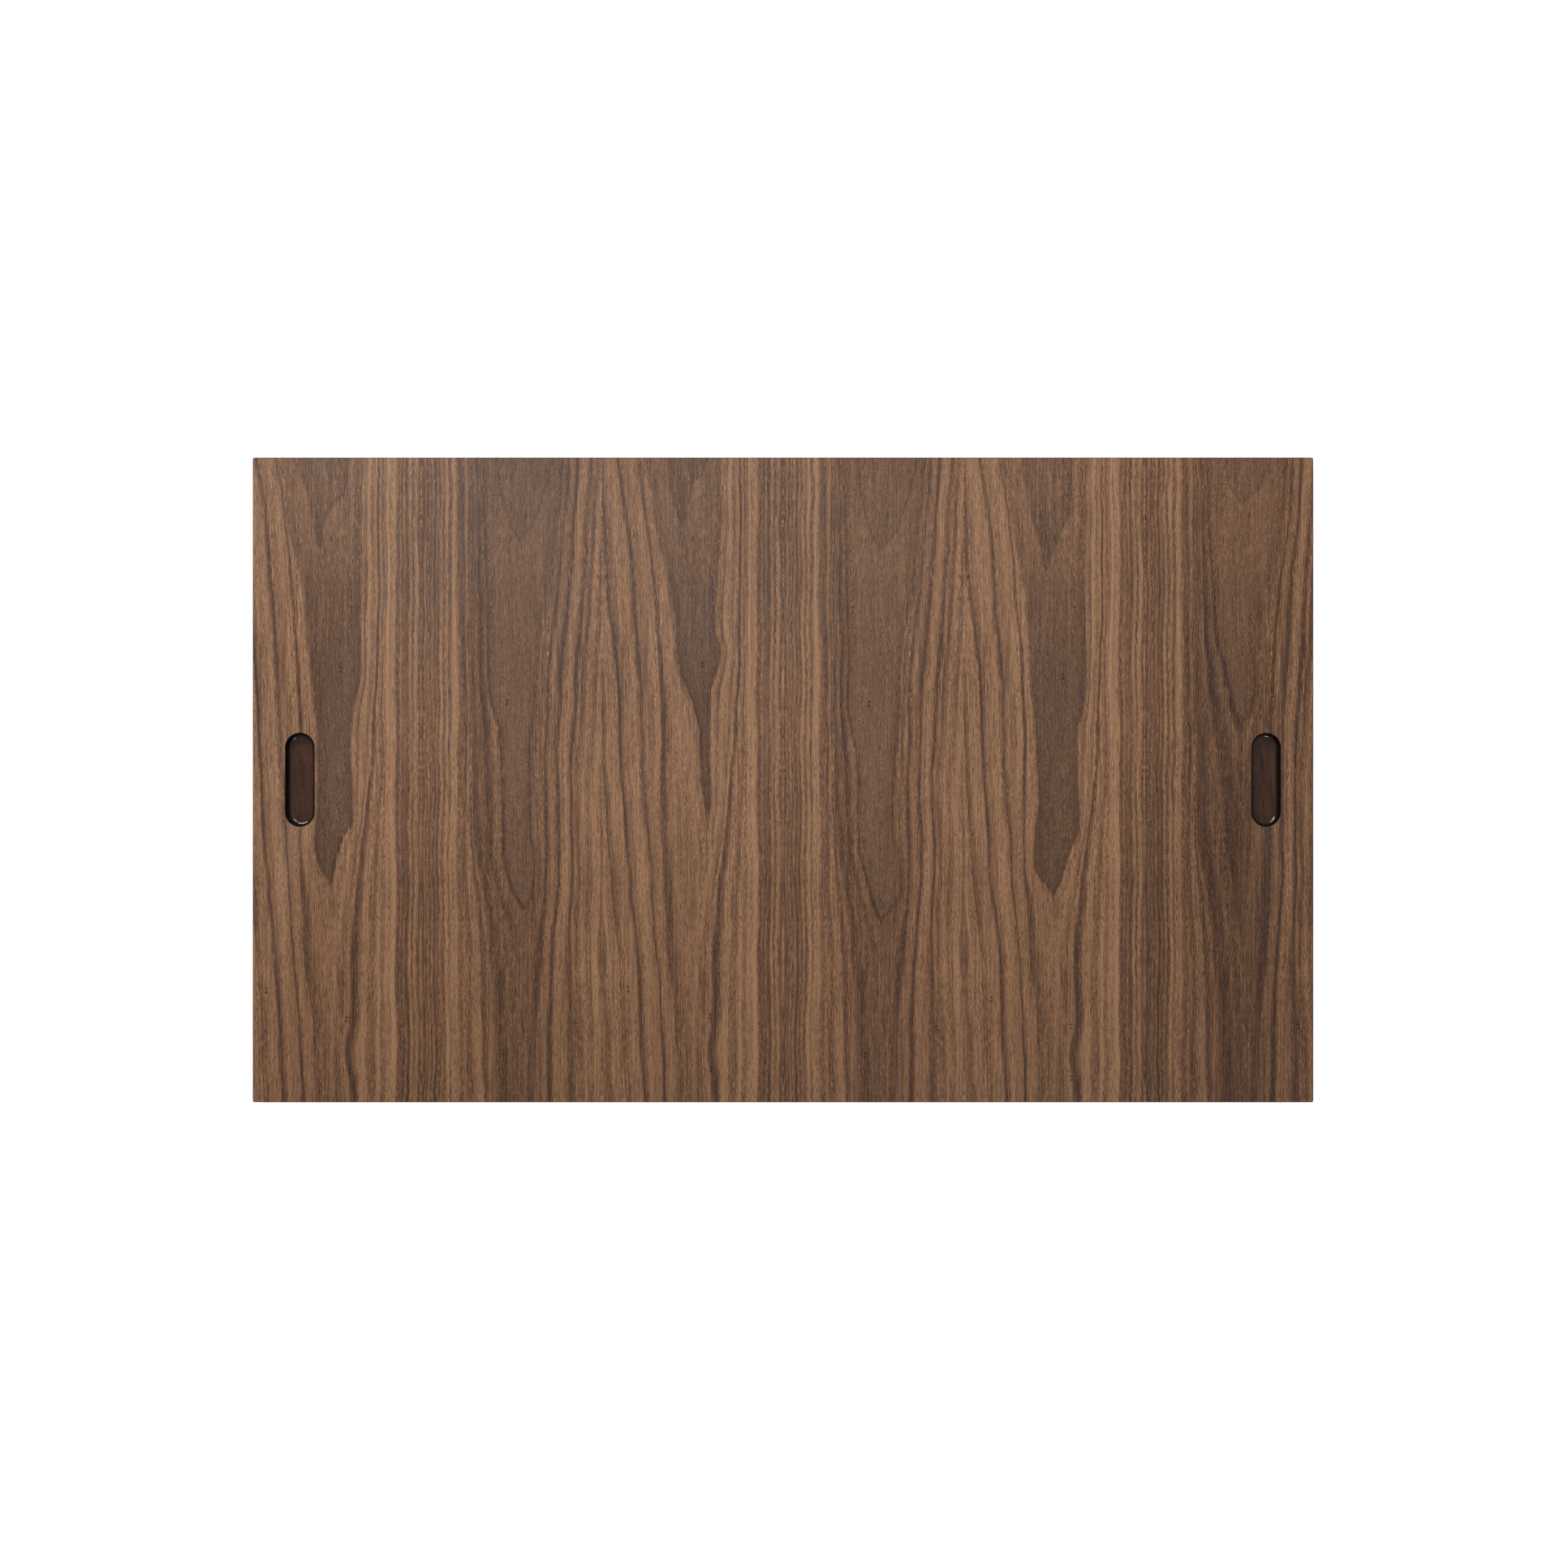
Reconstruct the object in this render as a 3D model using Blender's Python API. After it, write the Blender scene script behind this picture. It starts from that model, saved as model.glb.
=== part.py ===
"""A flat serving tray: a veneered board with a routed finger grip at each end, on four rubber feet.

The tray lies along X, the grain of its veneer runs along Y, and it stands on z = 0 with its
centre over the origin. Pieces that are glued or screwed together keep a gap of GAP between them.
"""

import math

import bmesh
import bpy
from mathutils import Vector

# Driving dimensions, in metres.
TRAY_LENGTH = 0.740
TRAY_WIDTH = 0.450
BOARD_THICKNESS = 0.018
VENEER = 0.0008
LIPPING = 0.003
LEAF_WIDTH = 0.1262
LEAF_COUNT = 6
CORNER_RADIUS = 0.0015
ARRIS = 0.0006
GAP = 0.0003

GRIP_LENGTH = 0.065
GRIP_WIDTH = 0.020
GRIP_DEPTH = 0.010
GRIP_FLOOR_FILLET = 0.003
GRIP_FROM_END = 0.033
GRIP_RIM_CHAMFER = 0.0004
INSERT_WALL = 0.003

FOOT_HEIGHT = 0.005
FOOT_TOP_RADIUS = 0.009
FOOT_FLOOR_RADIUS = 0.0078
FOOT_EDGE = 0.0006
FOOT_BORE_RADIUS = 0.0048
FOOT_WEB = 0.0013
FOOT_FROM_EDGE = 0.045

WASHER_RADIUS = 0.0043
WASHER_THICKNESS = 0.0006
SCREW_HEAD_RADIUS = 0.0036
SCREW_HEAD_HEIGHT = 0.0014
SCREW_SHANK_RADIUS = 0.0018
SCREW_LENGTH = 0.012
SCREW_POINT = 0.003
DRIVE_WIDTH = 0.0007
DRIVE_LENGTH = 0.0038
DRIVE_DEPTH = 0.0008

ARC_STEPS = 20
ROUND_STEPS = 32
FILLET_STEPS = 6
CUT_THROUGH = 0.002

# Heights and places that follow from them.
BOARD_BOTTOM = FOOT_HEIGHT
BOARD_TOP = BOARD_BOTTOM + BOARD_THICKNESS
CORE_BOTTOM = BOARD_BOTTOM + VENEER + GAP
CORE_TOP = BOARD_TOP - VENEER - GAP
GRIP_FLOOR = BOARD_TOP - GRIP_DEPTH
GRIP_RADIUS = GRIP_WIDTH / 2
GRIP_HALF_STRAIGHT = GRIP_LENGTH / 2 - GRIP_RADIUS
INSERT_RADIUS = GRIP_RADIUS + INSERT_WALL
INSERT_BOTTOM = GRIP_FLOOR - INSERT_WALL
GRIP_X = TRAY_LENGTH / 2 - GRIP_FROM_END
FOOT_X = TRAY_LENGTH / 2 - FOOT_FROM_EDGE
FOOT_Y = TRAY_WIDTH / 2 - FOOT_FROM_EDGE
FOOT_TOP = BOARD_BOTTOM - GAP
FOOT_BORE_TOP = FOOT_TOP - FOOT_WEB
WASHER_TOP = FOOT_BORE_TOP - GAP
HEAD_TOP = WASHER_TOP - WASHER_THICKNESS - GAP
SCREW_TIP = HEAD_TOP + SCREW_LENGTH
SCREW_HOLE_RADIUS = SCREW_SHANK_RADIUS + GAP

GRIPS = {"left": -GRIP_X, "right": GRIP_X}
FEET = {
    "front_left": (-FOOT_X, -FOOT_Y),
    "front_right": (FOOT_X, -FOOT_Y),
    "back_left": (-FOOT_X, FOOT_Y),
    "back_right": (FOOT_X, FOOT_Y),
}


def clear_scene():
    """Remove whatever the scene holds."""
    for obj in list(bpy.data.objects):
        bpy.data.objects.remove(obj)


def material(name, colour, roughness, metallic=0.0):
    """A plain finish for one kind of part."""
    made = bpy.data.materials.new(name)
    made.use_nodes = True
    shader = made.node_tree.nodes["Principled BSDF"]
    shader.inputs["Base Color"].default_value = (*colour, 1.0)
    shader.inputs["Roughness"].default_value = roughness
    shader.inputs["Metallic"].default_value = metallic
    return made


def object_from(name, mesh_maker, finish):
    """A new object in the scene, from the bmesh that mesh_maker returns."""
    mesh = bpy.data.meshes.new(name)
    mesh_maker.normal_update()
    mesh_maker.to_mesh(mesh)
    mesh_maker.free()
    obj = bpy.data.objects.new(name, mesh)
    bpy.context.scene.collection.objects.link(obj)
    if finish is not None:
        mesh.materials.append(finish)
    return obj


def shade_round(obj):
    """Shade the round faces smooth and keep the real edges sharp."""
    obj.data.shade_smooth()
    obj.data.set_sharp_from_angle(angle=math.radians(35))


def box(low, high):
    """A box between two corners."""
    low, high = Vector(low), Vector(high)
    made = bmesh.new()
    bmesh.ops.create_cube(made, size=1.0)
    bmesh.ops.scale(made, vec=high - low, verts=made.verts)
    bmesh.ops.translate(made, vec=(low + high) / 2, verts=made.verts)
    return made


def edges_where(made, test):
    """The edges of a bmesh whose two ends both pass the test."""
    return [edge for edge in made.edges if all(test(vert.co) for vert in edge.verts)]


def upright_edges_at(made, x_sides, y_sides):
    """The vertical edges at the given places in x and y."""
    return [
        edge
        for edge in made.edges
        if abs(edge.verts[0].co.z - edge.verts[1].co.z) > GAP
        and any(abs(edge.verts[0].co.x - x) < GAP / 2 for x in x_sides)
        and any(abs(edge.verts[0].co.y - y) < GAP / 2 for y in y_sides)
    ]


def round_edges(made, edges, radius, steps):
    """Round the edges given."""
    bmesh.ops.bevel(made, geom=edges, offset=radius, segments=steps, profile=0.5, affect="EDGES")


def stadium_ring(made, centre_x, radius, z):
    """One ring of vertices round a slot with semicircular ends, its straight part along Y."""
    ring = []
    for end in (1, -1):
        for step in range(ARC_STEPS + 1):
            angle = math.pi * step / ARC_STEPS
            ring.append(
                made.verts.new(
                    (
                        centre_x + end * radius * math.cos(angle),
                        end * (GRIP_HALF_STRAIGHT + radius * math.sin(angle)),
                        z,
                    )
                )
            )
    return ring


def stadium_solid(centre_x, sections):
    """A closed solid through stadium sections, given as (z, radius) from the bottom up."""
    made = bmesh.new()
    rings = [stadium_ring(made, centre_x, radius, z) for z, radius in sections]
    for lower, upper in zip(rings, rings[1:]):
        for i, corner in enumerate(lower):
            j = (i + 1) % len(lower)
            made.faces.new((corner, lower[j], upper[j], upper[i]))
    made.faces.new(reversed(rings[0]))
    made.faces.new(rings[-1])
    bmesh.ops.recalc_face_normals(made, faces=made.faces)
    return made


def turned(profile, centre):
    """A solid of revolution about the vertical line through centre, from a closed (radius, z) profile."""
    made = bmesh.new()
    points = [made.verts.new((centre[0] + radius, centre[1], z)) for radius, z in profile]
    edges = [made.edges.new((point, points[(i + 1) % len(points)])) for i, point in enumerate(points)]
    bmesh.ops.spin(
        made,
        geom=points + edges,
        cent=(centre[0], centre[1], 0),
        axis=(0, 0, 1),
        angle=2 * math.pi,
        steps=ROUND_STEPS,
        use_merge=True,
    )
    bmesh.ops.remove_doubles(made, verts=made.verts, dist=1e-6)
    on_axis = [edge for edge in made.edges if not edge.link_faces]
    bmesh.ops.delete(made, geom=on_axis, context="EDGES")
    bmesh.ops.recalc_face_normals(made, faces=made.faces)
    return made


def cut(obj, name, cutter_mesh):
    """Cut a shape away from a part with a Boolean."""
    cutter = object_from(name, cutter_mesh, None)
    cutter.hide_render = True
    cutter.display_type = "WIRE"
    modifier = obj.modifiers.new(name, "BOOLEAN")
    modifier.operation = "DIFFERENCE"
    modifier.solver = "EXACT"
    modifier.object = cutter


def screw_hole(centre, top):
    """A cutter for a screw hole, from below the board up to the height given."""
    bottom = BOARD_BOTTOM - CUT_THROUGH
    radius = SCREW_HOLE_RADIUS
    return turned([(0, bottom), (radius, bottom), (radius, top), (0, top)], centre)


def fillet_sections():
    """The grip recess from its floor up to where its wall is upright, as (z, radius)."""
    sections = []
    for step in range(FILLET_STEPS + 1):
        angle = math.pi / 2 * step / FILLET_STEPS
        sections.append(
            (
                GRIP_FLOOR + GRIP_FLOOR_FILLET * (1 - math.cos(angle)),
                GRIP_RADIUS - GRIP_FLOOR_FILLET * (1 - math.sin(angle)),
            )
        )
    return sections


def build_core(finish):
    """The substrate, with a pocket for each grip insert and a blind pilot hole for each foot screw."""
    half_length = TRAY_LENGTH / 2 - LIPPING - GAP
    half_width = TRAY_WIDTH / 2 - LIPPING - GAP
    core = object_from(
        "core_board",
        box((-half_length, -half_width, CORE_BOTTOM), (half_length, half_width, CORE_TOP)),
        finish,
    )
    for side, x in GRIPS.items():
        pocket = [(INSERT_BOTTOM - GAP, INSERT_RADIUS + GAP), (BOARD_TOP + CUT_THROUGH, INSERT_RADIUS + GAP)]
        cut(core, f"{side}_pocket_cutter", stadium_solid(x, pocket))
    for corner, centre in FEET.items():
        cut(core, f"{corner}_pilot_cutter", screw_hole(centre, SCREW_TIP + GAP))


def build_lippings(finish):
    """The four edge strips: front and back run the whole length, left and right stand between them."""
    x, y = TRAY_LENGTH / 2, TRAY_WIDTH / 2
    for name, side in (("front_lipping", -1), ("back_lipping", 1)):
        inner, outer = side * (y - LIPPING), side * y
        strip = box((-x, min(inner, outer), CORE_BOTTOM), (x, max(inner, outer), CORE_TOP))
        round_edges(strip, upright_edges_at(strip, (-x, x), (outer,)), CORNER_RADIUS, FILLET_STEPS)
        shade_round(object_from(name, strip, finish))
    end = y - LIPPING - GAP
    for name, side in (("left_lipping", -1), ("right_lipping", 1)):
        inner, outer = side * (x - LIPPING), side * x
        object_from(name, box((min(inner, outer), -end, CORE_BOTTOM), (max(inner, outer), end, CORE_TOP)), finish)


def leaf_limits(index):
    """The two x limits of a veneer leaf: the leaves meet at the tray's centre line and the outer two are trimmed."""
    middle = LEAF_COUNT / 2
    low = max((index - middle) * LEAF_WIDTH, -TRAY_LENGTH / 2)
    high = min((index + 1 - middle) * LEAF_WIDTH, TRAY_LENGTH / 2)
    low += 0 if index == 0 else GAP / 2
    high -= 0 if index == LEAF_COUNT - 1 else GAP / 2
    return low, high


def veneer_leaf(low, high, inner_z, outer_z):
    """One leaf, with its corners rounded and its arris eased where it comes to the tray's edge."""
    half_width = TRAY_WIDTH / 2
    ends = (-TRAY_LENGTH / 2, TRAY_LENGTH / 2)
    leaf = box((low, -half_width, min(inner_z, outer_z)), (high, half_width, max(inner_z, outer_z)))
    round_edges(leaf, upright_edges_at(leaf, ends, (-half_width, half_width)), CORNER_RADIUS, FILLET_STEPS)

    def on_outline(point):
        near_x = TRAY_LENGTH / 2 - abs(point.x) < CORNER_RADIUS + GAP / 2
        near_y = half_width - abs(point.y) < CORNER_RADIUS + GAP / 2
        return abs(point.z - outer_z) < GAP / 2 and (near_x or near_y)

    seams = [x for x in (low, high) if abs(x) < TRAY_LENGTH / 2 - GAP / 2]
    arrises = [
        edge
        for edge in edges_where(leaf, on_outline)
        if not all(any(abs(vert.co.x - x) < GAP / 4 for x in seams) for vert in edge.verts)
    ]
    round_edges(leaf, arrises, ARRIS, 3)
    return leaf


def build_veneers(finish):
    """The book-matched face leaves and the balancing leaves of the underside."""
    for index in range(LEAF_COUNT):
        low, high = leaf_limits(index)
        number = index + 1
        face = object_from(f"face_veneer_{number}", veneer_leaf(low, high, CORE_TOP + GAP, BOARD_TOP), finish)
        back = object_from(f"back_veneer_{number}", veneer_leaf(low, high, CORE_BOTTOM - GAP, BOARD_BOTTOM), finish)
        for side, x in GRIPS.items():
            if low < x < high:
                mouth = [
                    (BOARD_TOP - VENEER - GAP, GRIP_RADIUS),
                    (BOARD_TOP - GRIP_RIM_CHAMFER, GRIP_RADIUS),
                    (BOARD_TOP + GRIP_RIM_CHAMFER, GRIP_RADIUS + 2 * GRIP_RIM_CHAMFER),
                ]
                cut(face, f"{side}_mouth_cutter", stadium_solid(x, mouth))
        for corner, centre in FEET.items():
            if low < centre[0] < high:
                cut(back, f"{corner}_clearance_cutter", screw_hole(centre, CORE_BOTTOM))


def build_grip_inserts(finish):
    """The hardwood cup that lines each finger grip, glued into its pocket under the face veneer."""
    for side, x in GRIPS.items():
        body = stadium_solid(x, [(INSERT_BOTTOM, INSERT_RADIUS), (CORE_TOP, INSERT_RADIUS)])
        insert = object_from(f"{side}_grip_insert", body, finish)
        recess = [*fillet_sections(), (CORE_TOP + CUT_THROUGH, GRIP_RADIUS)]
        cut(insert, f"{side}_recess_cutter", stadium_solid(x, recess))
        shade_round(insert)


def build_feet(rubber, steel):
    """At each corner a rubber pad, the washer in its bore, and the screw that holds both to the core."""
    for corner, centre in FEET.items():
        pad = turned(
            [
                (FOOT_BORE_RADIUS, 0),
                (FOOT_FLOOR_RADIUS - FOOT_EDGE, 0),
                (FOOT_FLOOR_RADIUS, FOOT_EDGE),
                (FOOT_TOP_RADIUS, FOOT_TOP - FOOT_EDGE),
                (FOOT_TOP_RADIUS - FOOT_EDGE / 2, FOOT_TOP),
                (SCREW_HOLE_RADIUS, FOOT_TOP),
                (SCREW_HOLE_RADIUS, FOOT_BORE_TOP),
                (FOOT_BORE_RADIUS, FOOT_BORE_TOP),
            ],
            centre,
        )
        shade_round(object_from(f"{corner}_foot_pad", pad, rubber))

        washer_bottom = WASHER_TOP - WASHER_THICKNESS
        washer = turned(
            [
                (SCREW_HOLE_RADIUS, washer_bottom),
                (WASHER_RADIUS, washer_bottom),
                (WASHER_RADIUS, WASHER_TOP),
                (SCREW_HOLE_RADIUS, WASHER_TOP),
            ],
            centre,
        )
        shade_round(object_from(f"{corner}_foot_washer", washer, steel))
        build_screw(corner, centre, steel)


def build_screw(corner, centre, steel):
    """A pan head wood screw with a cross drive, pointing up into the core."""
    head_bottom = HEAD_TOP - SCREW_HEAD_HEIGHT
    profile = [
        (0, head_bottom),
        (SCREW_HEAD_RADIUS * 0.6, head_bottom + SCREW_HEAD_HEIGHT * 0.06),
        (SCREW_HEAD_RADIUS * 0.9, head_bottom + SCREW_HEAD_HEIGHT * 0.3),
        (SCREW_HEAD_RADIUS, head_bottom + SCREW_HEAD_HEIGHT * 0.6),
        (SCREW_HEAD_RADIUS, HEAD_TOP),
        (SCREW_SHANK_RADIUS, HEAD_TOP),
        (SCREW_SHANK_RADIUS, SCREW_TIP - SCREW_POINT),
        (0, SCREW_TIP),
    ]
    screw = object_from(f"{corner}_foot_screw", turned(profile, centre), steel)
    for direction, (half_x, half_y) in (
        ("long", (DRIVE_LENGTH / 2, DRIVE_WIDTH / 2)),
        ("cross", (DRIVE_WIDTH / 2, DRIVE_LENGTH / 2)),
    ):
        slot = box(
            (centre[0] - half_x, centre[1] - half_y, head_bottom - DRIVE_DEPTH),
            (centre[0] + half_x, centre[1] + half_y, head_bottom + DRIVE_DEPTH),
        )
        cut(screw, f"{corner}_{direction}_slot_cutter", slot)
    shade_round(screw)


def main():
    """Build the tray from the inside out."""
    clear_scene()
    walnut = material("walnut_veneer", (0.20, 0.13, 0.085), 0.5)
    lipping = material("stained_lipping", (0.04, 0.025, 0.018), 0.45)
    grip = material("grip_hardwood", (0.06, 0.034, 0.024), 0.25)
    core = material("core_plywood", (0.48, 0.34, 0.20), 0.7)
    rubber = material("black_rubber", (0.02, 0.02, 0.02), 0.8)
    steel = material("plated_steel", (0.55, 0.55, 0.54), 0.35, metallic=1.0)
    build_core(core)
    build_lippings(lipping)
    build_veneers(walnut)
    build_grip_inserts(grip)
    build_feet(rubber, steel)


main()
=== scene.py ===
"""Looks of a flat walnut serving tray: book-matched veneer, dark lippings, glossy finger grips, rubber feet.

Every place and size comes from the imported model, which stays as the frame. Lengths are in metres,
except inside the wood patterns, which count in millimetres on a veneer leaf: "across" runs from the
leaf's quarter-sawn seam to its flat-sawn one, and "along" runs down the grain from the tray's back edge.
"""

import logging
import math
from collections.abc import Callable, Sequence
from dataclasses import dataclass
from enum import Enum
from typing import ClassVar

import bmesh
import bpy
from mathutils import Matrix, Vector


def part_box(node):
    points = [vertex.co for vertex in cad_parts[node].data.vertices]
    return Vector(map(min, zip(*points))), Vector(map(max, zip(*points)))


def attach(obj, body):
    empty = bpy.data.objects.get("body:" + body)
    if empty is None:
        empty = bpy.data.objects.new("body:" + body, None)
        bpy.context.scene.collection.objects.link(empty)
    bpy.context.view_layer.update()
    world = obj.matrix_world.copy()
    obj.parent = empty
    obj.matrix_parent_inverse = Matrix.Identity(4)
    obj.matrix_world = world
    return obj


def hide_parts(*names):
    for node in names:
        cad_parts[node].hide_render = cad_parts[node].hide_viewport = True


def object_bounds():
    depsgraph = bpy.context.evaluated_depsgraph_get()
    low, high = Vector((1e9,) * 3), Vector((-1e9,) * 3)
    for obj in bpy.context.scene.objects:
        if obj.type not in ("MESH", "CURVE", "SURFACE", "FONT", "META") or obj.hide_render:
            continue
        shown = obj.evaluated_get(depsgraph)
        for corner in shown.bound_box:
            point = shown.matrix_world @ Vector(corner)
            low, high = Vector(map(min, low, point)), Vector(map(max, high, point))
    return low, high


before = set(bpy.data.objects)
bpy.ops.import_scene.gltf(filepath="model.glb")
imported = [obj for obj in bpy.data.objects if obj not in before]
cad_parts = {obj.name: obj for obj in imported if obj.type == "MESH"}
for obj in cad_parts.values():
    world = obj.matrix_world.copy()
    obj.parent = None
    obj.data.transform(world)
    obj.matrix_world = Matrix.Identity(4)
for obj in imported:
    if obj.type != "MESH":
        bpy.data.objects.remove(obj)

CAD_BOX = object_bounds()
BODY = "root"
MM = 0.001
HAIR = 0.01 * MM
GLUE_LINE = 0.02 * MM
TOUCH = 0.05 * MM
OVERCUT = 2 * MM
WHITE = (1.0, 1.0, 1.0, 1.0)

Line = tuple[tuple[float, float], ...]
Rgb = tuple[int, int, int]
Density = tuple[float, float]
Feed = bpy.types.NodeSocket | float | tuple[float, ...]

log = logging.getLogger("tray")


class Pick(Enum):
    """What an edit-mode operator works on."""

    FACES = "FACE"
    EDGES = "EDGE"


class Grain(Enum):
    """Which way the grain of a solid piece of wood runs."""

    ALONG_X = (9.0, 1.0, 1.0)
    ALONG_Y = (1.0, 9.0, 1.0)


class Layer(Enum):
    """The side of the board that a veneer leaf lies on."""

    FACE = 1
    BACK = -1


# ---------------------------------------------------------------------------------------------
# Laying shader nodes
# ---------------------------------------------------------------------------------------------


def linear(colour: Rgb) -> tuple[float, float, float, float]:
    """Turn a paint-chip colour into the linear colour that shaders use.

    Args:
        colour: Red, green and blue from 0 to 255.

    Returns:
        Linear red, green and blue, and an alpha of 1.
    """
    parts = []
    for channel in colour:
        share = channel / 255
        parts.append(share / 12.92 if share <= 0.04045 else ((share + 0.055) / 1.055) ** 2.4)
    return (parts[0], parts[1], parts[2], 1.0)


class Recipe:
    """Lays nodes into one node tree and joins them up."""

    def __init__(self, tree: bpy.types.NodeTree) -> None:
        """Start on the node tree of a material, a node group or a world."""
        self.tree = tree

    def node(self, kind: str, **settings: object) -> bpy.types.Node:
        """Add one node.

        Args:
            kind: The node's type name.
            settings: Values for the node's own properties.

        Returns:
            The new node.
        """
        made = self.tree.nodes.new(kind)
        for name, value in settings.items():
            setattr(made, name, value)
        return made

    def feed(self, socket: bpy.types.NodeSocket, value: Feed) -> None:
        """Give an input its value, or join another node's output to it.

        Args:
            socket: The input.
            value: A number, a vector or an output socket.
        """
        if isinstance(value, bpy.types.NodeSocket):
            self.tree.links.new(value, socket)
        else:
            socket.default_value = value

    def math(self, operation: str, *values: Feed, clamp: bool = False) -> bpy.types.NodeSocket:
        """Work out one number from up to three.

        Args:
            operation: The Math node's operation.
            values: Its inputs, as numbers or sockets.
            clamp: Whether the result is kept between 0 and 1.

        Returns:
            The result's socket.
        """
        made = self.node("ShaderNodeMath", operation=operation, use_clamp=clamp)
        for socket, value in zip(made.inputs, values):
            self.feed(socket, value)
        return made.outputs[0]

    def plus(self, first: Feed, second: Feed) -> bpy.types.NodeSocket:
        """Add two numbers."""
        return self.math("ADD", first, second)

    def minus(self, first: Feed, second: Feed) -> bpy.types.NodeSocket:
        """Take the second number from the first."""
        return self.math("SUBTRACT", first, second)

    def times(self, first: Feed, second: Feed) -> bpy.types.NodeSocket:
        """Multiply two numbers."""
        return self.math("MULTIPLY", first, second)

    def share(self, value: Feed, start: Feed, end: Feed) -> bpy.types.NodeSocket:
        """How far a value has come from start to end, kept between 0 and 1."""
        return self.math("DIVIDE", self.minus(value, start), self.minus(end, start), clamp=True)

    def step(self, value: Feed, low: Feed, high: Feed) -> bpy.types.NodeSocket:
        """A soft step.

        Args:
            value: The value to judge.
            low: Where the step is still 0.
            high: Where the step has reached 1. It may be less than low.

        Returns:
            The step's height.
        """
        made = self.node("ShaderNodeMapRange", interpolation_type="SMOOTHSTEP")
        for socket, part in zip(made.inputs, (value, low, high, 0.0, 1.0)):
            self.feed(socket, part)
        return made.outputs[0]

    def mix(self, factor: Feed, first: Feed, second: Feed) -> bpy.types.NodeSocket:
        """Blend two numbers.

        Args:
            factor: 0 for the first, 1 for the second.
            first: A number or socket.
            second: A number or socket.

        Returns:
            The blend.
        """
        made = self.node("ShaderNodeMix", data_type="FLOAT")
        for socket, value in zip((made.inputs[0], made.inputs[2], made.inputs[3]), (factor, first, second)):
            self.feed(socket, value)
        return made.outputs[0]

    def tint(self, factor: Feed, first: Feed, second: Feed, way: str = "MIX") -> bpy.types.NodeSocket:
        """Blend two colours.

        Args:
            factor: How much of the second colour.
            first: The colour beneath.
            second: The colour on top.
            way: The blend mode.

        Returns:
            The blended colour.
        """
        made = self.node("ShaderNodeMix", data_type="RGBA", blend_type=way)
        for socket, value in zip((made.inputs[0], made.inputs[6], made.inputs[7]), (factor, first, second)):
            self.feed(socket, value)
        return made.outputs[2]

    def ramp(self, value: Feed, stops: Sequence[tuple[float, Rgb]]) -> bpy.types.NodeSocket:
        """Turn a tone into a colour.

        Args:
            value: The tone, from 0 to 1.
            stops: Tones and their colours, in rising order.

        Returns:
            The colour.
        """
        made = self.node("ShaderNodeValToRGB")
        elements = made.color_ramp.elements
        for element, (place, colour) in zip(elements, (stops[0], stops[-1])):
            element.position = place
            element.color = linear(colour)
        for place, colour in stops[1:-1]:
            elements.new(place).color = linear(colour)
        self.feed(made.inputs[0], value)
        return made.outputs[0]

    def curve(self, value: Feed, points: Line, reach: float, height: float = 1.0) -> bpy.types.NodeSocket:
        """Read a smooth line drawn through a few points.

        Args:
            value: Where to read it.
            points: The line's points, in rising order.
            reach: The greatest place on the line.
            height: The greatest value on the line.

        Returns:
            The line's value there.
        """
        made = self.node("ShaderNodeFloatCurve")
        drawn = made.mapping.curves[0].points
        while len(drawn) < len(points):
            drawn.new(0.5, 0.5)
        for target, (place, level) in zip(drawn, points):
            target.location = (place / reach, level / height)
            target.handle_type = "AUTO_CLAMPED"
        made.mapping.update()
        self.feed(made.inputs["Value"], self.math("DIVIDE", value, reach))
        return self.times(made.outputs[0], height)

    def stretch(
        self, vector: Feed, by: Sequence[float], shift: Feed = (0.0, 0.0, 0.0)
    ) -> bpy.types.NodeSocket:
        """Scale a place along each axis and then move it.

        Args:
            vector: The place.
            by: The three scales.
            shift: The move.

        Returns:
            The new place.
        """
        made = self.node("ShaderNodeVectorMath", operation="MULTIPLY_ADD")
        for socket, value in zip(made.inputs, (vector, tuple(by), shift)):
            self.feed(socket, value)
        return made.outputs[0]

    def noise(self, vector: Feed, detail: float = 1.0, rough: float = 0.5) -> bpy.types.NodeSocket:
        """Cloudy noise with one cloud to each unit.

        Args:
            vector: The place to read it.
            detail: How many finer layers it has.
            rough: How strong the finer layers are.

        Returns:
            The noise, from 0 to 1.
        """
        made = self.node("ShaderNodeTexNoise")
        self.feed(made.inputs["Vector"], vector)
        made.inputs["Scale"].default_value = 1.0
        made.inputs["Detail"].default_value = detail
        made.inputs["Roughness"].default_value = rough
        return made.outputs[0]

    def swing(self, vector: Feed, size: Feed, detail: float = 1.0) -> bpy.types.NodeSocket:
        """Noise that swings about zero, from roughly -size to size."""
        return self.times(self.minus(self.noise(vector, detail), 0.5), self.times(size, 2.0))

    def drawn(self, across: Feed, along: Feed, density: Density, through: Feed) -> bpy.types.NodeSocket:
        """A place for noise whose clouds are drawn out along the grain.

        Args:
            across: The place across the grain, in millimetres.
            along: The place along the grain, in millimetres.
            density: How many clouds there are to a millimetre, across and along.
            through: The place through the wood, or a number that keeps two noises apart.

        Returns:
            The place.
        """
        return self.join(self.times(across, density[0]), self.times(along, density[1]), through)

    def distance(self, first: Feed, second: Feed) -> bpy.types.NodeSocket:
        """How far away something is that lies first across and second along."""
        return self.math("SQRT", self.plus(self.times(first, first), self.times(second, second)))

    def split(self, vector: Feed) -> tuple[bpy.types.NodeSocket, ...]:
        """The three parts of a place."""
        made = self.node("ShaderNodeSeparateXYZ")
        self.feed(made.inputs[0], vector)
        return tuple(made.outputs)

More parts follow.
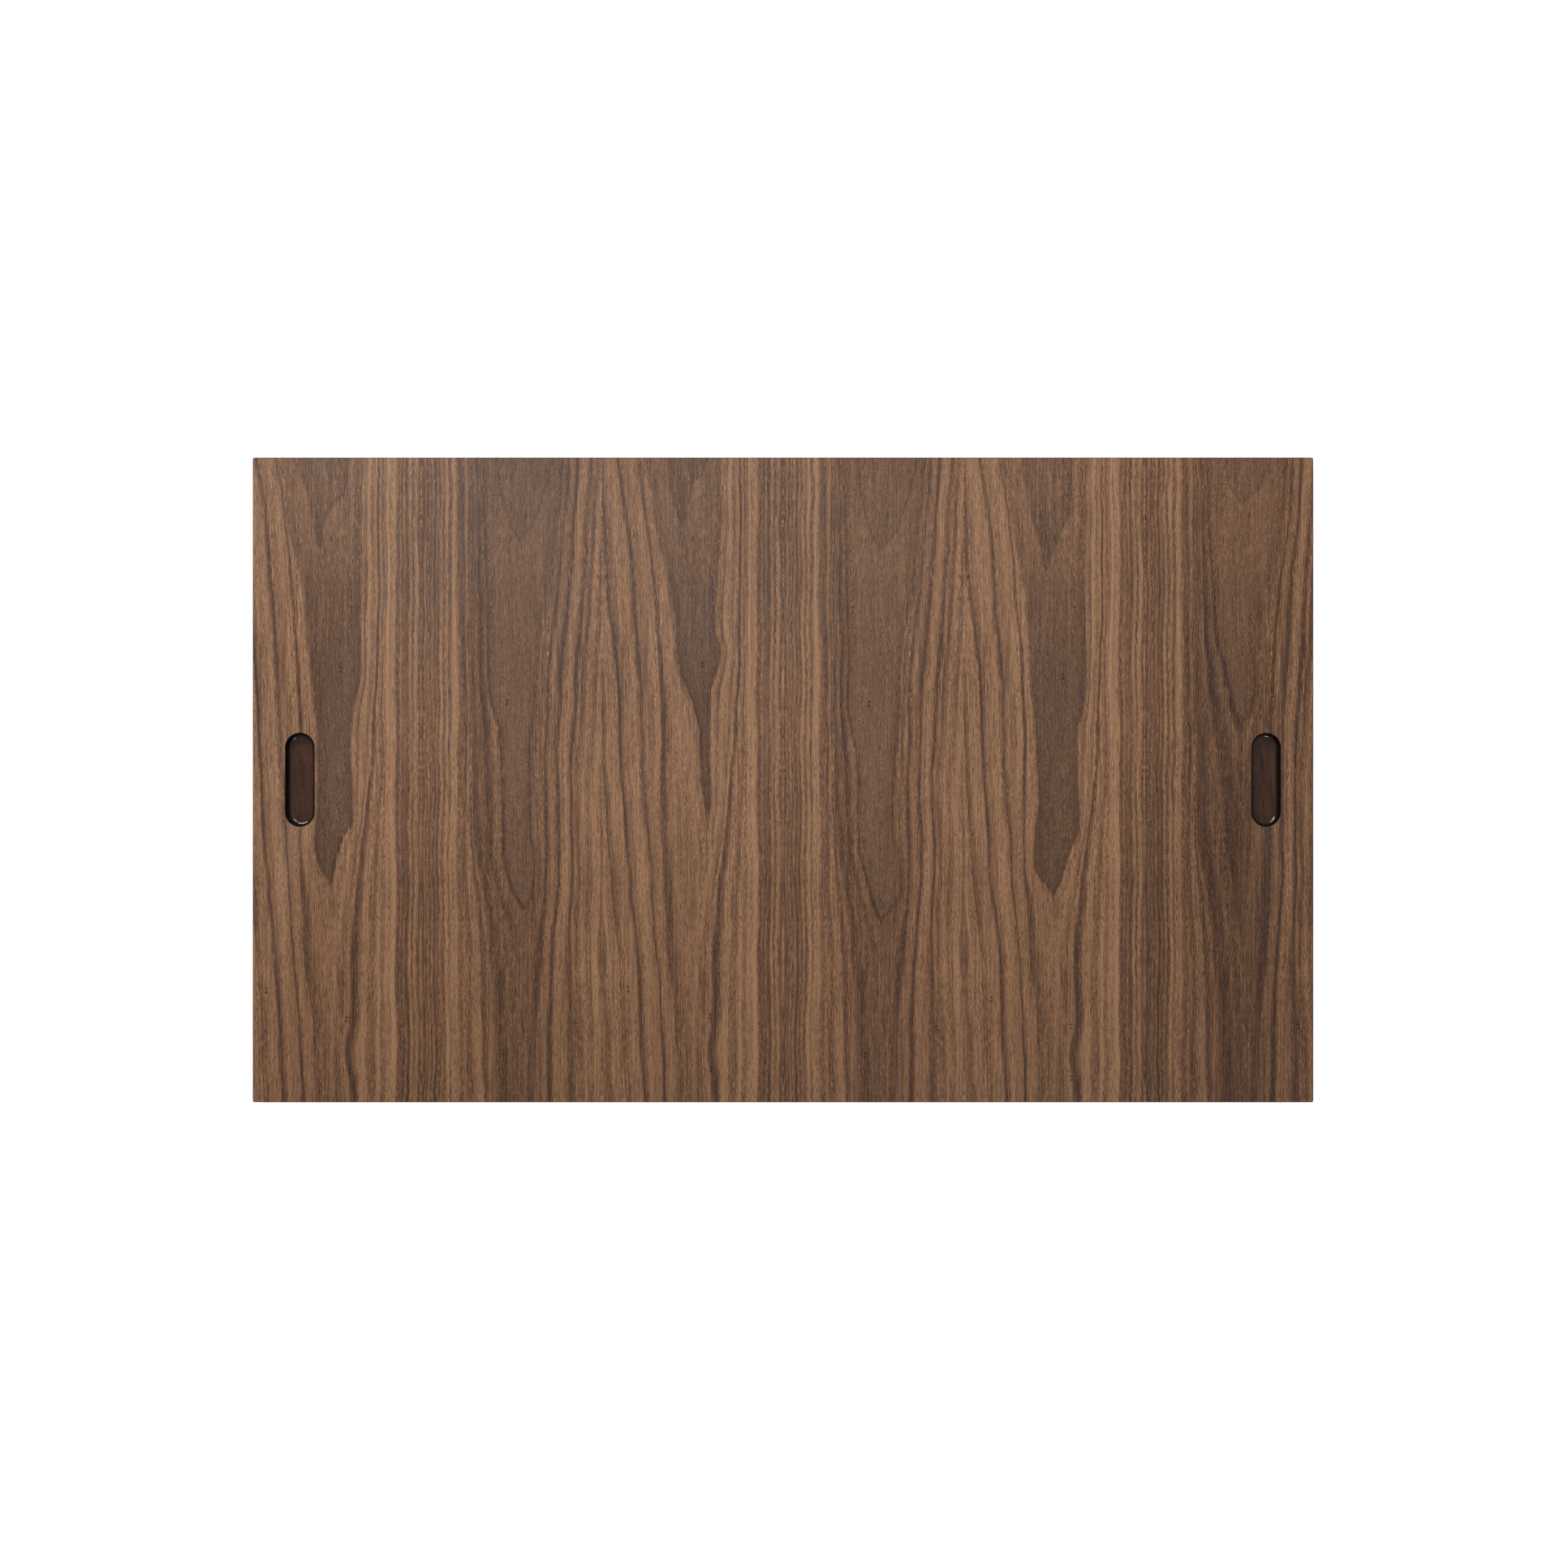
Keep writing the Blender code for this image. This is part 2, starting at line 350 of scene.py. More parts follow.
    def join(self, *parts: Feed) -> bpy.types.NodeSocket:
        """A place from its three parts."""
        made = self.node("ShaderNodeCombineXYZ")
        for socket, value in zip(made.inputs, parts):
            self.feed(socket, value)
        return made.outputs[0]


# ---------------------------------------------------------------------------------------------
# Effects that several finishes share
# ---------------------------------------------------------------------------------------------


@dataclass(frozen=True)
class Port:
    """One input or output of an effect: its name, its kind, and its value where nothing is joined."""

    name: str
    value: float | tuple[float, float, float] = 0.0

    def add_to(self, tree: bpy.types.NodeTree, direction: str) -> None:
        """Make the socket.

        Args:
            tree: The node group.
            direction: INPUT or OUTPUT.
        """
        kind = "NodeSocketFloat" if isinstance(self.value, float) else "NodeSocketVector"
        made = tree.interface.new_socket(self.name, in_out=direction, socket_type=kind)
        made.default_value = self.value


PLACE = Port("Place", (0.0, 0.0, 0.0))


class Effect:
    """A surface effect kept as a shader node group, built the first time that it is placed."""

    name: str = "effect"
    takes: ClassVar[tuple[Port, ...]] = ()
    gives: ClassVar[tuple[Port, ...]] = ()

    def lay(self, recipe: Recipe, given: dict[str, bpy.types.NodeSocket]) -> dict[str, Feed]:
        """Lay the effect's own nodes between its inputs and what feeds each output, both by name."""
        raise NotImplementedError

    def group(self) -> bpy.types.NodeTree:
        """The node group, built if it isn't there yet.

        Returns:
            The node group.
        """
        known = bpy.data.node_groups.get(self.name)
        if known:
            return known
        tree = bpy.data.node_groups.new(self.name, "ShaderNodeTree")
        for port in self.takes:
            port.add_to(tree, "INPUT")
        for port in self.gives:
            port.add_to(tree, "OUTPUT")
        recipe = Recipe(tree)
        entry = recipe.node("NodeGroupInput")
        exit_node = recipe.node("NodeGroupOutput")
        given = {port.name: entry.outputs[port.name] for port in self.takes}
        for name, value in self.lay(recipe, given).items():
            recipe.feed(exit_node.inputs[name], value)
        return tree

    def place(self, recipe: Recipe, feeds: dict[str, Feed]) -> dict[str, bpy.types.NodeSocket]:
        """Put the effect into a finish.

        Args:
            recipe: The finish's node tree.
            feeds: What feeds each input, by name.

        Returns:
            The effect's outputs by name.
        """
        made = recipe.node("ShaderNodeGroup")
        made.node_tree = self.group()
        for name, value in feeds.items():
            recipe.feed(made.inputs[name], value)
        return {port.name: made.outputs[port.name] for port in self.gives}


class Fibre(Effect):
    """Wood fibre: streaks, a finer grain, and the dark dashes of open pores. Across is X and along is Y."""

    name = "wood fibre"
    takes = (
        PLACE,
        Port("Streak Width", 1.0),
        Port("Streak Length", 80.0),
        Port("Pore Amount", 0.5),
        Port("Speckle"),
    )
    gives = (Port("Streak"), Port("Fine"), Port("Pores"))

    stagger_density: ClassVar[Density] = (0.7, 0.004)
    stagger: ClassVar[float] = 60.0
    hair_density: ClassVar[Density] = (1.7, 0.3)
    speckle_density: ClassVar[Density] = (1.6, 1.05)
    pore_density: ClassVar[Density] = (2.6, 0.2)
    fine_size: ClassVar[float] = 2.4
    streak_size: ClassVar[float] = 3.4
    few_pores: ClassVar[float] = 0.74
    many_pores: ClassVar[float] = 0.54
    pore_rim: ClassVar[float] = 0.09

    def lay(self, recipe: Recipe, given: dict[str, bpy.types.NodeSocket]) -> dict[str, Feed]:
        """Lay three layers of drawn-out noise, with staggered ends; see Effect.lay."""
        across, along, through = recipe.split(given["Place"])
        stagger_place = recipe.drawn(across, along, self.stagger_density, through)
        along = recipe.plus(along, recipe.swing(stagger_place, self.stagger))
        wide = recipe.math("DIVIDE", across, given["Streak Width"])
        long = recipe.math("DIVIDE", along, given["Streak Length"])
        streak = recipe.minus(recipe.noise(recipe.join(wide, long, through), 3.0, 0.75), 0.5)
        hair = recipe.swing(recipe.drawn(across, along, self.hair_density, through), self.fine_size)
        speckle_place = recipe.drawn(across, along, self.speckle_density, recipe.plus(through, 17.0))
        speckle = recipe.swing(speckle_place, self.fine_size)
        fine = recipe.mix(given["Speckle"], hair, speckle)
        pore = recipe.noise(recipe.drawn(across, along, self.pore_density, recipe.plus(through, 31.0)))
        threshold = recipe.mix(given["Pore Amount"], self.few_pores, self.many_pores)
        pores = recipe.step(pore, threshold, recipe.plus(threshold, self.pore_rim))
        return {"Streak": recipe.times(streak, self.streak_size), "Fine": fine, "Pores": pores}


class Wander(Effect):
    """Bends a place sideways as growth rings wander, and feathers it along the fibres."""

    name = "ring wander"
    takes = (PLACE, Port("Wander", 2.4), Port("Jag", 0.9), Port("Feather", 5.0), Port("Seed"))
    gives = (Port("Across"), Port("Along"))

    slow_density: ClassVar[Density] = (0.02, 0.016)
    quick_density: ClassVar[Density] = (0.12, 0.06)
    feather_density: ClassVar[Density] = (0.9, 0.035)

    def lay(self, recipe: Recipe, given: dict[str, bpy.types.NodeSocket]) -> dict[str, Feed]:
        """Lay slow and quick swings; see Effect.lay."""
        across, along, _ = recipe.split(given["Place"])
        seed = given["Seed"]
        slow = recipe.swing(recipe.drawn(across, along, self.slow_density, seed), given["Wander"])
        quick = recipe.swing(recipe.drawn(across, along, self.quick_density, seed), given["Jag"], 3.0)
        feathers = recipe.drawn(across, along, self.feather_density, recipe.plus(seed, 9.0))
        shift = recipe.swing(feathers, given["Feather"], 2.0)
        return {
            "Across": recipe.plus(across, recipe.plus(slow, quick)),
            "Along": recipe.plus(along, shift),
        }


class PinKnot(Effect):
    """One pin knot: a pair of dark specks with a paler swirl over it."""

    name = "pin knot"
    takes = (PLACE, Port("Across"), Port("Along"), Port("Size", 1.0))
    gives = (Port("Speck"), Port("Swirl"))

    half_gap: ClassVar[float] = 1.3
    swirl_above: ClassVar[float] = 8.0
    swirl_squash: ClassVar[float] = 0.7
    swirl_lean: ClassVar[float] = -0.45
    swirl_radius: ClassVar[float] = 3.8

    def lay(self, recipe: Recipe, given: dict[str, bpy.types.NodeSocket]) -> dict[str, Feed]:
        """Lay two specks with ragged rims, and a leaning swirl above them; see Effect.lay."""
        across, along, _ = recipe.split(given["Place"])
        ragged = recipe.swing(recipe.stretch(given["Place"], (0.9, 0.9, 0.9)), 0.7, 2.0)
        side = recipe.plus(recipe.minus(across, given["Across"]), ragged)
        down = recipe.minus(along, given["Along"])
        paired = recipe.math("PINGPONG", recipe.plus(down, self.half_gap), self.half_gap)
        inside = recipe.step(recipe.math("ABSOLUTE", down), self.half_gap * 2, self.half_gap * 2 - 0.4)
        near = recipe.distance(side, paired)
        speck = recipe.times(recipe.step(near, recipe.times(given["Size"], 1.5), 0.4), inside)
        above = recipe.times(recipe.plus(down, self.swirl_above), self.swirl_squash)
        leaning = recipe.plus(side, recipe.plus(2.5, recipe.times(above, self.swirl_lean)))
        far = recipe.distance(leaning, above)
        return {"Speck": speck, "Swirl": recipe.step(far, self.swirl_radius, 0.6)}


class EdgeWear(Effect):
    """Rubbed or dusty patches: a broken mask that fades with the distance from where the wear starts."""

    name = "edge wear"
    takes = (PLACE, Port("Distance"), Port("Reach", 1.0), Port("Breakup", 0.5))
    gives = (Port("Worn"),)
    density: ClassVar[float] = 0.22

    def lay(self, recipe: Recipe, given: dict[str, bpy.types.NodeSocket]) -> dict[str, Feed]:
        """Lay a fading band broken by noise; see Effect.lay."""
        patchy = recipe.swing(recipe.stretch(given["Place"], (self.density,) * 3), given["Breakup"], 3.0)
        reach = recipe.times(given["Reach"], recipe.plus(1.0, patchy))
        return {"Worn": recipe.step(given["Distance"], reach, 0.0)}


@dataclass(frozen=True)
class RingFamily:
    """The growth rings that leaves from one flitch face share. Lines are (along, across) in millimetres.

    A profile is (ring place, tone). Left of the crown the ring place is the distance from the seam,
    squeezed between the two quarter lines and the crown; right of the crown it counts from the crown.

    Attributes:
        name: The family's name.
        quarter_inner: The line where the quarter-sawn rings start to swerve.
        quarter_outer: The line of the dark ring next to the crown.
        flank_near: The first dark ring right of the crown.
        flank_mid: The second.
        flank_far: The third.
        quarter_rings: The ring profile left of the crown.
        flank_rings: The ring profile right of the crown.
        heart_tone: The heart's tone along the leaf, as (along, tone).
        crown_tone: The crown's tone along the leaf.
        crown_grey: How grey the crown is along the leaf.
        crown_plain: How plain the crown is along the leaf.
        inner_place: The ring place of quarter_inner.
        outer_place: The ring place of quarter_outer.
        quarter_level: How light the rings left of the crown are.
        dark_foot: How much darker the rings left of the crown are past its tip.
    """

    name: str
    quarter_inner: Line
    quarter_outer: Line
    flank_near: Line
    flank_mid: Line
    flank_far: Line
    quarter_rings: Line
    flank_rings: Line
    heart_tone: Line
    crown_tone: Line
    crown_grey: Line
    crown_plain: Line
    inner_place: float = 27.0
    outer_place: float = 31.0
    quarter_level: float = 0.77
    dark_foot: float = 0.0


LEAF_REACH = 450.0
ACROSS_REACH = 150.0
RING_REACH = 66.0
STRAIGHT_ZONE = 24.0
CROWN_PLACE = 44.0
FLANK_PLACES = (10.0, 12.0, 14.0)
FLANK_COUNT_FROM = 60.0
RING_MIDDLE = 0.7


class Figure(Effect):
    """The cathedral figure of one ring family: its tone, and where it is grey and plain inside the crown."""

    takes = (
        Port("Across"),
        Port("Along"),
        Port("Crown Left"),
        Port("Crown Right"),
        Port("Heart Left"),
        Port("Heart Right"),
        Port("Line Strength", 0.3),
    )
    gives = (Port("Tone"), Port("Grey"), Port("Plain"))

    faint_density: ClassVar[Density] = (0.5, 0.004)
    close_density: ClassVar[Density] = (1.3, 0.003)
    nested_density: ClassVar[Density] = (0.14, 0.004)
    faint_lines: ClassVar[float] = 0.3
    close_lines: ClassVar[float] = 0.34
    nested_arches: ClassVar[float] = 0.26
    quarter_contrast: ClassVar[float] = 1.05
    flank_contrast: ClassVar[float] = 0.85
    flank_level: ClassVar[float] = 0.72
    heart_line: ClassVar[float] = 0.2
    inner_rim: ClassVar[float] = 0.1
    heart_grey: ClassVar[float] = 0.8

    def __init__(self, family: RingFamily) -> None:
        """Keep the family whose rings this figure draws."""
        self.family = family
        self.name = f"{family.name} figure"

    def quarter_place(self, recipe: Recipe, across: Feed, along: Feed, crown: Feed) -> bpy.types.NodeSocket:
        """The ring place to the left of the crown.

        Args:
            recipe: The group's node tree.
            across: The place across the leaf.
            along: The place along the leaf.
            crown: The crown's left line.

        Returns:
            The ring place.
        """
        family = self.family
        inner = recipe.curve(along, family.quarter_inner, LEAF_REACH, ACROSS_REACH)
        outer = recipe.curve(along, family.quarter_outer, LEAF_REACH, ACROSS_REACH)
        straight = recipe.math("MINIMUM", across, STRAIGHT_ZONE)
        first = recipe.times(recipe.share(across, STRAIGHT_ZONE, inner), family.inner_place - STRAIGHT_ZONE)
        second = recipe.times(recipe.share(across, inner, outer), family.outer_place - family.inner_place)
        third = recipe.times(recipe.share(across, outer, crown), CROWN_PLACE - family.outer_place)
        return recipe.plus(recipe.plus(straight, first), recipe.plus(second, third))

    def flank_place(self, recipe: Recipe, across: Feed, along: Feed, crown: Feed) -> bpy.types.NodeSocket:
        """The ring place to the right of the crown.

        Args:
            recipe: The group's node tree.
            across: The place across the leaf.
            along: The place along the leaf.
            crown: The crown's right line.

        Returns:
            The ring place.
        """
        family = self.family
        lines = [crown]
        for line in (family.flank_near, family.flank_mid, family.flank_far):
            lines.append(recipe.curve(along, line, LEAF_REACH, ACROSS_REACH))
        place = recipe.math("MAXIMUM", recipe.minus(across, lines[-1]), 0.0)
        for start, end, width in zip(lines, lines[1:], FLANK_PLACES):
            place = recipe.plus(place, recipe.times(recipe.share(across, start, end), width))
        return place

    def rings(self, recipe: Recipe, given: dict[str, bpy.types.NodeSocket]) -> bpy.types.NodeSocket:
        """The rings outside the crown.

        Args:
            recipe: The group's node tree.
            given: The group's inputs by name.

        Returns:
            Their tone.
        """
        family = self.family
        across, along = given["Across"], given["Along"]
        left, right = given["Crown Left"], given["Crown Right"]
        quarter_place = self.quarter_place(recipe, across, along, left)
        flank_place = self.flank_place(recipe, across, along, right)
        quarter = recipe.minus(recipe.curve(quarter_place, family.quarter_rings, RING_REACH), RING_MIDDLE)
        quarter = recipe.plus(recipe.times(quarter, self.quarter_contrast), family.quarter_level)
        flank = recipe.minus(recipe.curve(flank_place, family.flank_rings, RING_REACH), RING_MIDDLE)
        flank = recipe.plus(recipe.times(flank, self.flank_contrast), self.flank_level)
        foot = recipe.times(recipe.step(along, 270.0, 350.0), recipe.step(quarter_place, 27.0, 33.0))
        quarter = recipe.minus(quarter, recipe.times(foot, family.dark_foot))
        middle = recipe.times(recipe.plus(left, right), 0.5)
        side = recipe.step(recipe.minus(across, middle), -1.5, 1.5)
        counted = recipe.mix(side, quarter_place, recipe.plus(flank_place, FLANK_COUNT_FROM))
        faint = recipe.swing(recipe.drawn(counted, along, self.faint_density, 0.0), self.faint_lines, 2.0)
        close = recipe.swing(recipe.drawn(counted, along, self.close_density, 7.0), self.close_lines, 2.0)
        return recipe.plus(recipe.mix(side, quarter, flank), recipe.plus(faint, close))

    def inside(
        self, recipe: Recipe, given: dict[str, bpy.types.NodeSocket], outside: Feed, plain: Feed
    ) -> tuple[bpy.types.NodeSocket, bpy.types.NodeSocket]:
        """What shows inside the crown: nested arches, with the heart in them.

        Args:
            recipe: The group's node tree.
            given: The group's inputs by name.
            outside: How far outside the crown a place is, negative within it.
            plain: How plain the crown is there.

        Returns:
            The tone, and a mask of the heart.
        """
        across, along = given["Across"], given["Along"]
        beyond_heart = recipe.math(
            "MAXIMUM",
            recipe.minus(given["Heart Left"], across),
            recipe.minus(across, given["Heart Right"]),
        )
        heart = recipe.step(beyond_heart, 1.5, -2.5)
        outline = recipe.step(recipe.math("ABSOLUTE", beyond_heart), 1.6, 0.1)
        crown_tone = recipe.curve(along, self.family.crown_tone, LEAF_REACH)
        heart_tone = recipe.curve(along, self.family.heart_tone, LEAF_REACH)
        tone = recipe.mix(heart, crown_tone, heart_tone)
        arches = recipe.swing(recipe.drawn(outside, along, self.nested_density, 3.0), self.nested_arches, 2.0)
        tone = recipe.plus(tone, recipe.times(arches, recipe.mix(plain, 1.0, 0.3)))
        tone = recipe.minus(tone, recipe.times(outline, self.heart_line))
        rim = recipe.step(outside, -9.0, 0.0)
        return recipe.minus(tone, recipe.times(rim, self.inner_rim)), heart

    def lay(self, recipe: Recipe, given: dict[str, bpy.types.NodeSocket]) -> dict[str, Feed]:
        """Lay the rings outside the crown, the crown's outline and what is inside it; see Effect.lay."""
        across, along = given["Across"], given["Along"]
        left, right = given["Crown Left"], given["Crown Right"]
        plain = recipe.curve(along, self.family.crown_plain, LEAF_REACH)
        soft = recipe.mix(plain, 2.2, 0.6)
        outside = recipe.math("MAXIMUM", recipe.minus(left, across), recipe.minus(across, right))
        crown = recipe.step(outside, soft, recipe.times(soft, -1.0))
        inside, heart = self.inside(recipe, given, outside, plain)
        tone = recipe.mix(crown, self.rings(recipe, given), inside)

        outline = recipe.step(recipe.math("ABSOLUTE", recipe.minus(outside, 0.6)), 1.9, 0.1)
        near_tip = recipe.step(recipe.minus(right, left), 30.0, 12.0)
        outline = recipe.times(outline, recipe.mix(plain, 0.4, 1.0))
        outline = recipe.times(outline, recipe.mix(near_tip, 0.45, 1.0))
        tone = recipe.minus(tone, recipe.times(outline, given["Line Strength"]))

        crown_grey = recipe.curve(along, self.family.crown_grey, LEAF_REACH)
        grey = recipe.math("MAXIMUM", recipe.times(heart, self.heart_grey), crown_grey)
        return {"Tone": tone, "Grey": recipe.times(crown, grey), "Plain": recipe.times(crown, plain)}


# ---------------------------------------------------------------------------------------------
# The flitch: the two ring families and the six leaves cut from it
# ---------------------------------------------------------------------------------------------

DARK_FLITCH = RingFamily(
    name="dark flitch",
    quarter_inner=((0, 27), (200, 27), (250, 29), (300, 33), (350, 34), (450, 34)),
    quarter_outer=((0, 30), (100, 30), (150, 31), (200, 33), (240, 37), (275, 41), (310, 44.5), (350, 47),
                   (385, 47), (398, 48), (415, 50.5), (432, 48), (450, 47)),
    flank_near=((0, 101), (57, 93), (113, 88), (170, 85), (226, 84), (262, 85), (285, 84), (310, 82),
                (350, 80), (380, 76), (420, 74), (450, 74)),
    flank_mid=((0, 116), (57, 107), (113, 103), (170, 99), (226, 96), (272, 93), (317, 90.5), (368, 86),
               (407, 84), (450, 83)),
    flank_far=((0, 127), (85, 122), (141, 116), (198, 113), (255, 110), (294, 107), (340, 102), (396, 99),
               (450, 96)),
    quarter_rings=((0, 0.6), (1.1, 0.35), (3.5, 0.72), (5, 0.6), (6, 0.42), (7.2, 0.7), (8.6, 0.5),
                   (10.2, 0.22), (11.6, 0.5), (13, 0.28), (14.6, 0.5), (16, 0.32), (18, 0.78), (20.2, 0.92),
                   (21.8, 0.74), (23.4, 0.92), (25, 0.55), (26, 0.72), (27, 0.42), (29, 0.82), (31, 0.26),
                   (32.6, 0.8), (34.6, 0.6), (37.5, 0.82), (40, 0.64), (42, 0.7), (44, 0.52), (66, 0.5)),
    flank_rings=((0, 0.6), (2, 0.72), (5, 0.85), (8.4, 0.68), (10, 0.32), (11.2, 0.66), (14, 0.86),
                 (18, 0.8), (20.6, 0.66), (22, 0.26), (23.3, 0.64), (27, 0.9), (31, 0.86), (34.4, 0.7),
                 (36, 0.24), (37.5, 0.7), (41, 0.95), (45, 0.88), (48, 0.45), (50, 0.8), (55, 0.95),
                 (60, 0.62), (66, 0.9)),
    heart_tone=((0, 0.52), (40, 0.44), (70, 0.38), (450, 0.4)),
    crown_tone=((0, 0.7), (40, 0.66), (80, 0.57), (130, 0.5), (180, 0.42), (230, 0.4), (300, 0.4),
                (450, 0.42)),
    crown_grey=((0, 0.25), (60, 0.4), (110, 0.7), (150, 1.0), (300, 1.0), (450, 0.8)),
    crown_plain=((0, 0), (80, 0.2), (150, 0.7), (190, 1.0), (450, 1.0)),
    quarter_level=0.88,
    dark_foot=0.15,
)

PALE_FLITCH = RingFamily(
    name="pale flitch",
    quarter_inner=((0, 31), (200, 32), (300, 33), (350, 35.5), (450, 36.5)),
    quarter_outer=((0, 36), (150, 36), (225, 37), (270, 40), (300, 45), (340, 50), (380, 54), (450, 56)),
    flank_near=((0, 103), (50, 99), (90, 95), (130, 91), (170, 88.5), (215, 87.5), (300, 87), (335, 85),
                (380, 80), (420, 78), (450, 77)),
    flank_mid=((0, 111), (60, 107), (120, 102), (170, 99), (215, 97), (280, 98), (310, 97), (345, 94),
               (380, 92), (450, 92)),
    flank_far=((0, 122), (60, 118), (130, 114), (190, 110), (225, 107.5), (285, 108.5), (320, 107),
               (368, 108), (400, 110), (450, 110)),
    quarter_rings=((0, 0.65), (1.7, 0.4), (2.8, 0.68), (4, 0.42), (5.3, 0.7), (6.3, 0.45), (8, 0.66),
                   (9.5, 0.3), (11, 0.62), (12, 0.42), (14, 0.8), (15.8, 0.52), (18, 0.98), (20, 0.56),
                   (22, 0.92), (24, 0.88), (25.6, 0.48), (27.6, 0.72), (29.5, 0.76), (31, 0.46), (33, 0.62),
                   (36, 0.34), (38, 0.5), (40, 0.34), (42, 0.56), (44, 0.4), (66, 0.4)),
    flank_rings=((0, 0.4), (3, 0.42), (7, 0.56), (8.6, 0.5), (10, 0.2), (12, 0.6), (15, 0.7), (18, 0.56),
                 (20, 0.16), (21.6, 0.62), (25, 0.9), (29, 0.8), (32, 0.24), (33.6, 0.72), (37, 0.56),
                 (41, 0.95), (45, 0.66), (49, 1.0), (55, 0.66), (60, 0.95), (66, 0.8)),
    heart_tone=((0, 0.52), (50, 0.52), (90, 0.6), (450, 0.6)),
    crown_tone=((0, 0.6), (50, 0.61), (100, 0.59), (150, 0.58), (200, 0.58), (260, 0.57), (320, 0.52),
                (450, 0.5)),
    crown_grey=((0, 0.4), (50, 0.15), (110, 0.1), (170, 0.6), (220, 1.0), (450, 1.0)),
    crown_plain=((0, 0.5), (60, 0.6), (150, 0.8), (200, 1.0), (450, 1.0)),
    outer_place=36.0,
)


@dataclass(frozen=True)
class Leaf:
    """One leaf of veneer as it lies on the tray. Lines and knots are (along, across) in millimetres.

    Attributes:
        number: The leaf's number, from the tray's left.
        family: The rings that it shares with its neighbours in the flitch.
        crown_left: The crown's left line, past its tip so that the two lines cross.
        crown_right: The crown's right line.
        heart_left: The left line of the heart, the innermost arch.
        heart_right: The right line of the heart.
        knots: Its pin knots.
        lighter: How much lighter than its family it is.
        back_end_painted_light: Painted sheen and shade at its back end, as the key light falls: how much
            lighter
        it is painted than its middle; a negative value paints it darker.
        line: How dark the crown's outline is.
        swirl: How strong the pale swirl at its first knot is.
    """

    number: int
    family: RingFamily
    crown_left: Line
    crown_right: Line
    heart_left: Line
    heart_right: Line
    knots: Line
    lighter: float = 0.0
    back_end_painted_light: float = 0.0
    line: float = 0.3
    swirl: float = 0.0


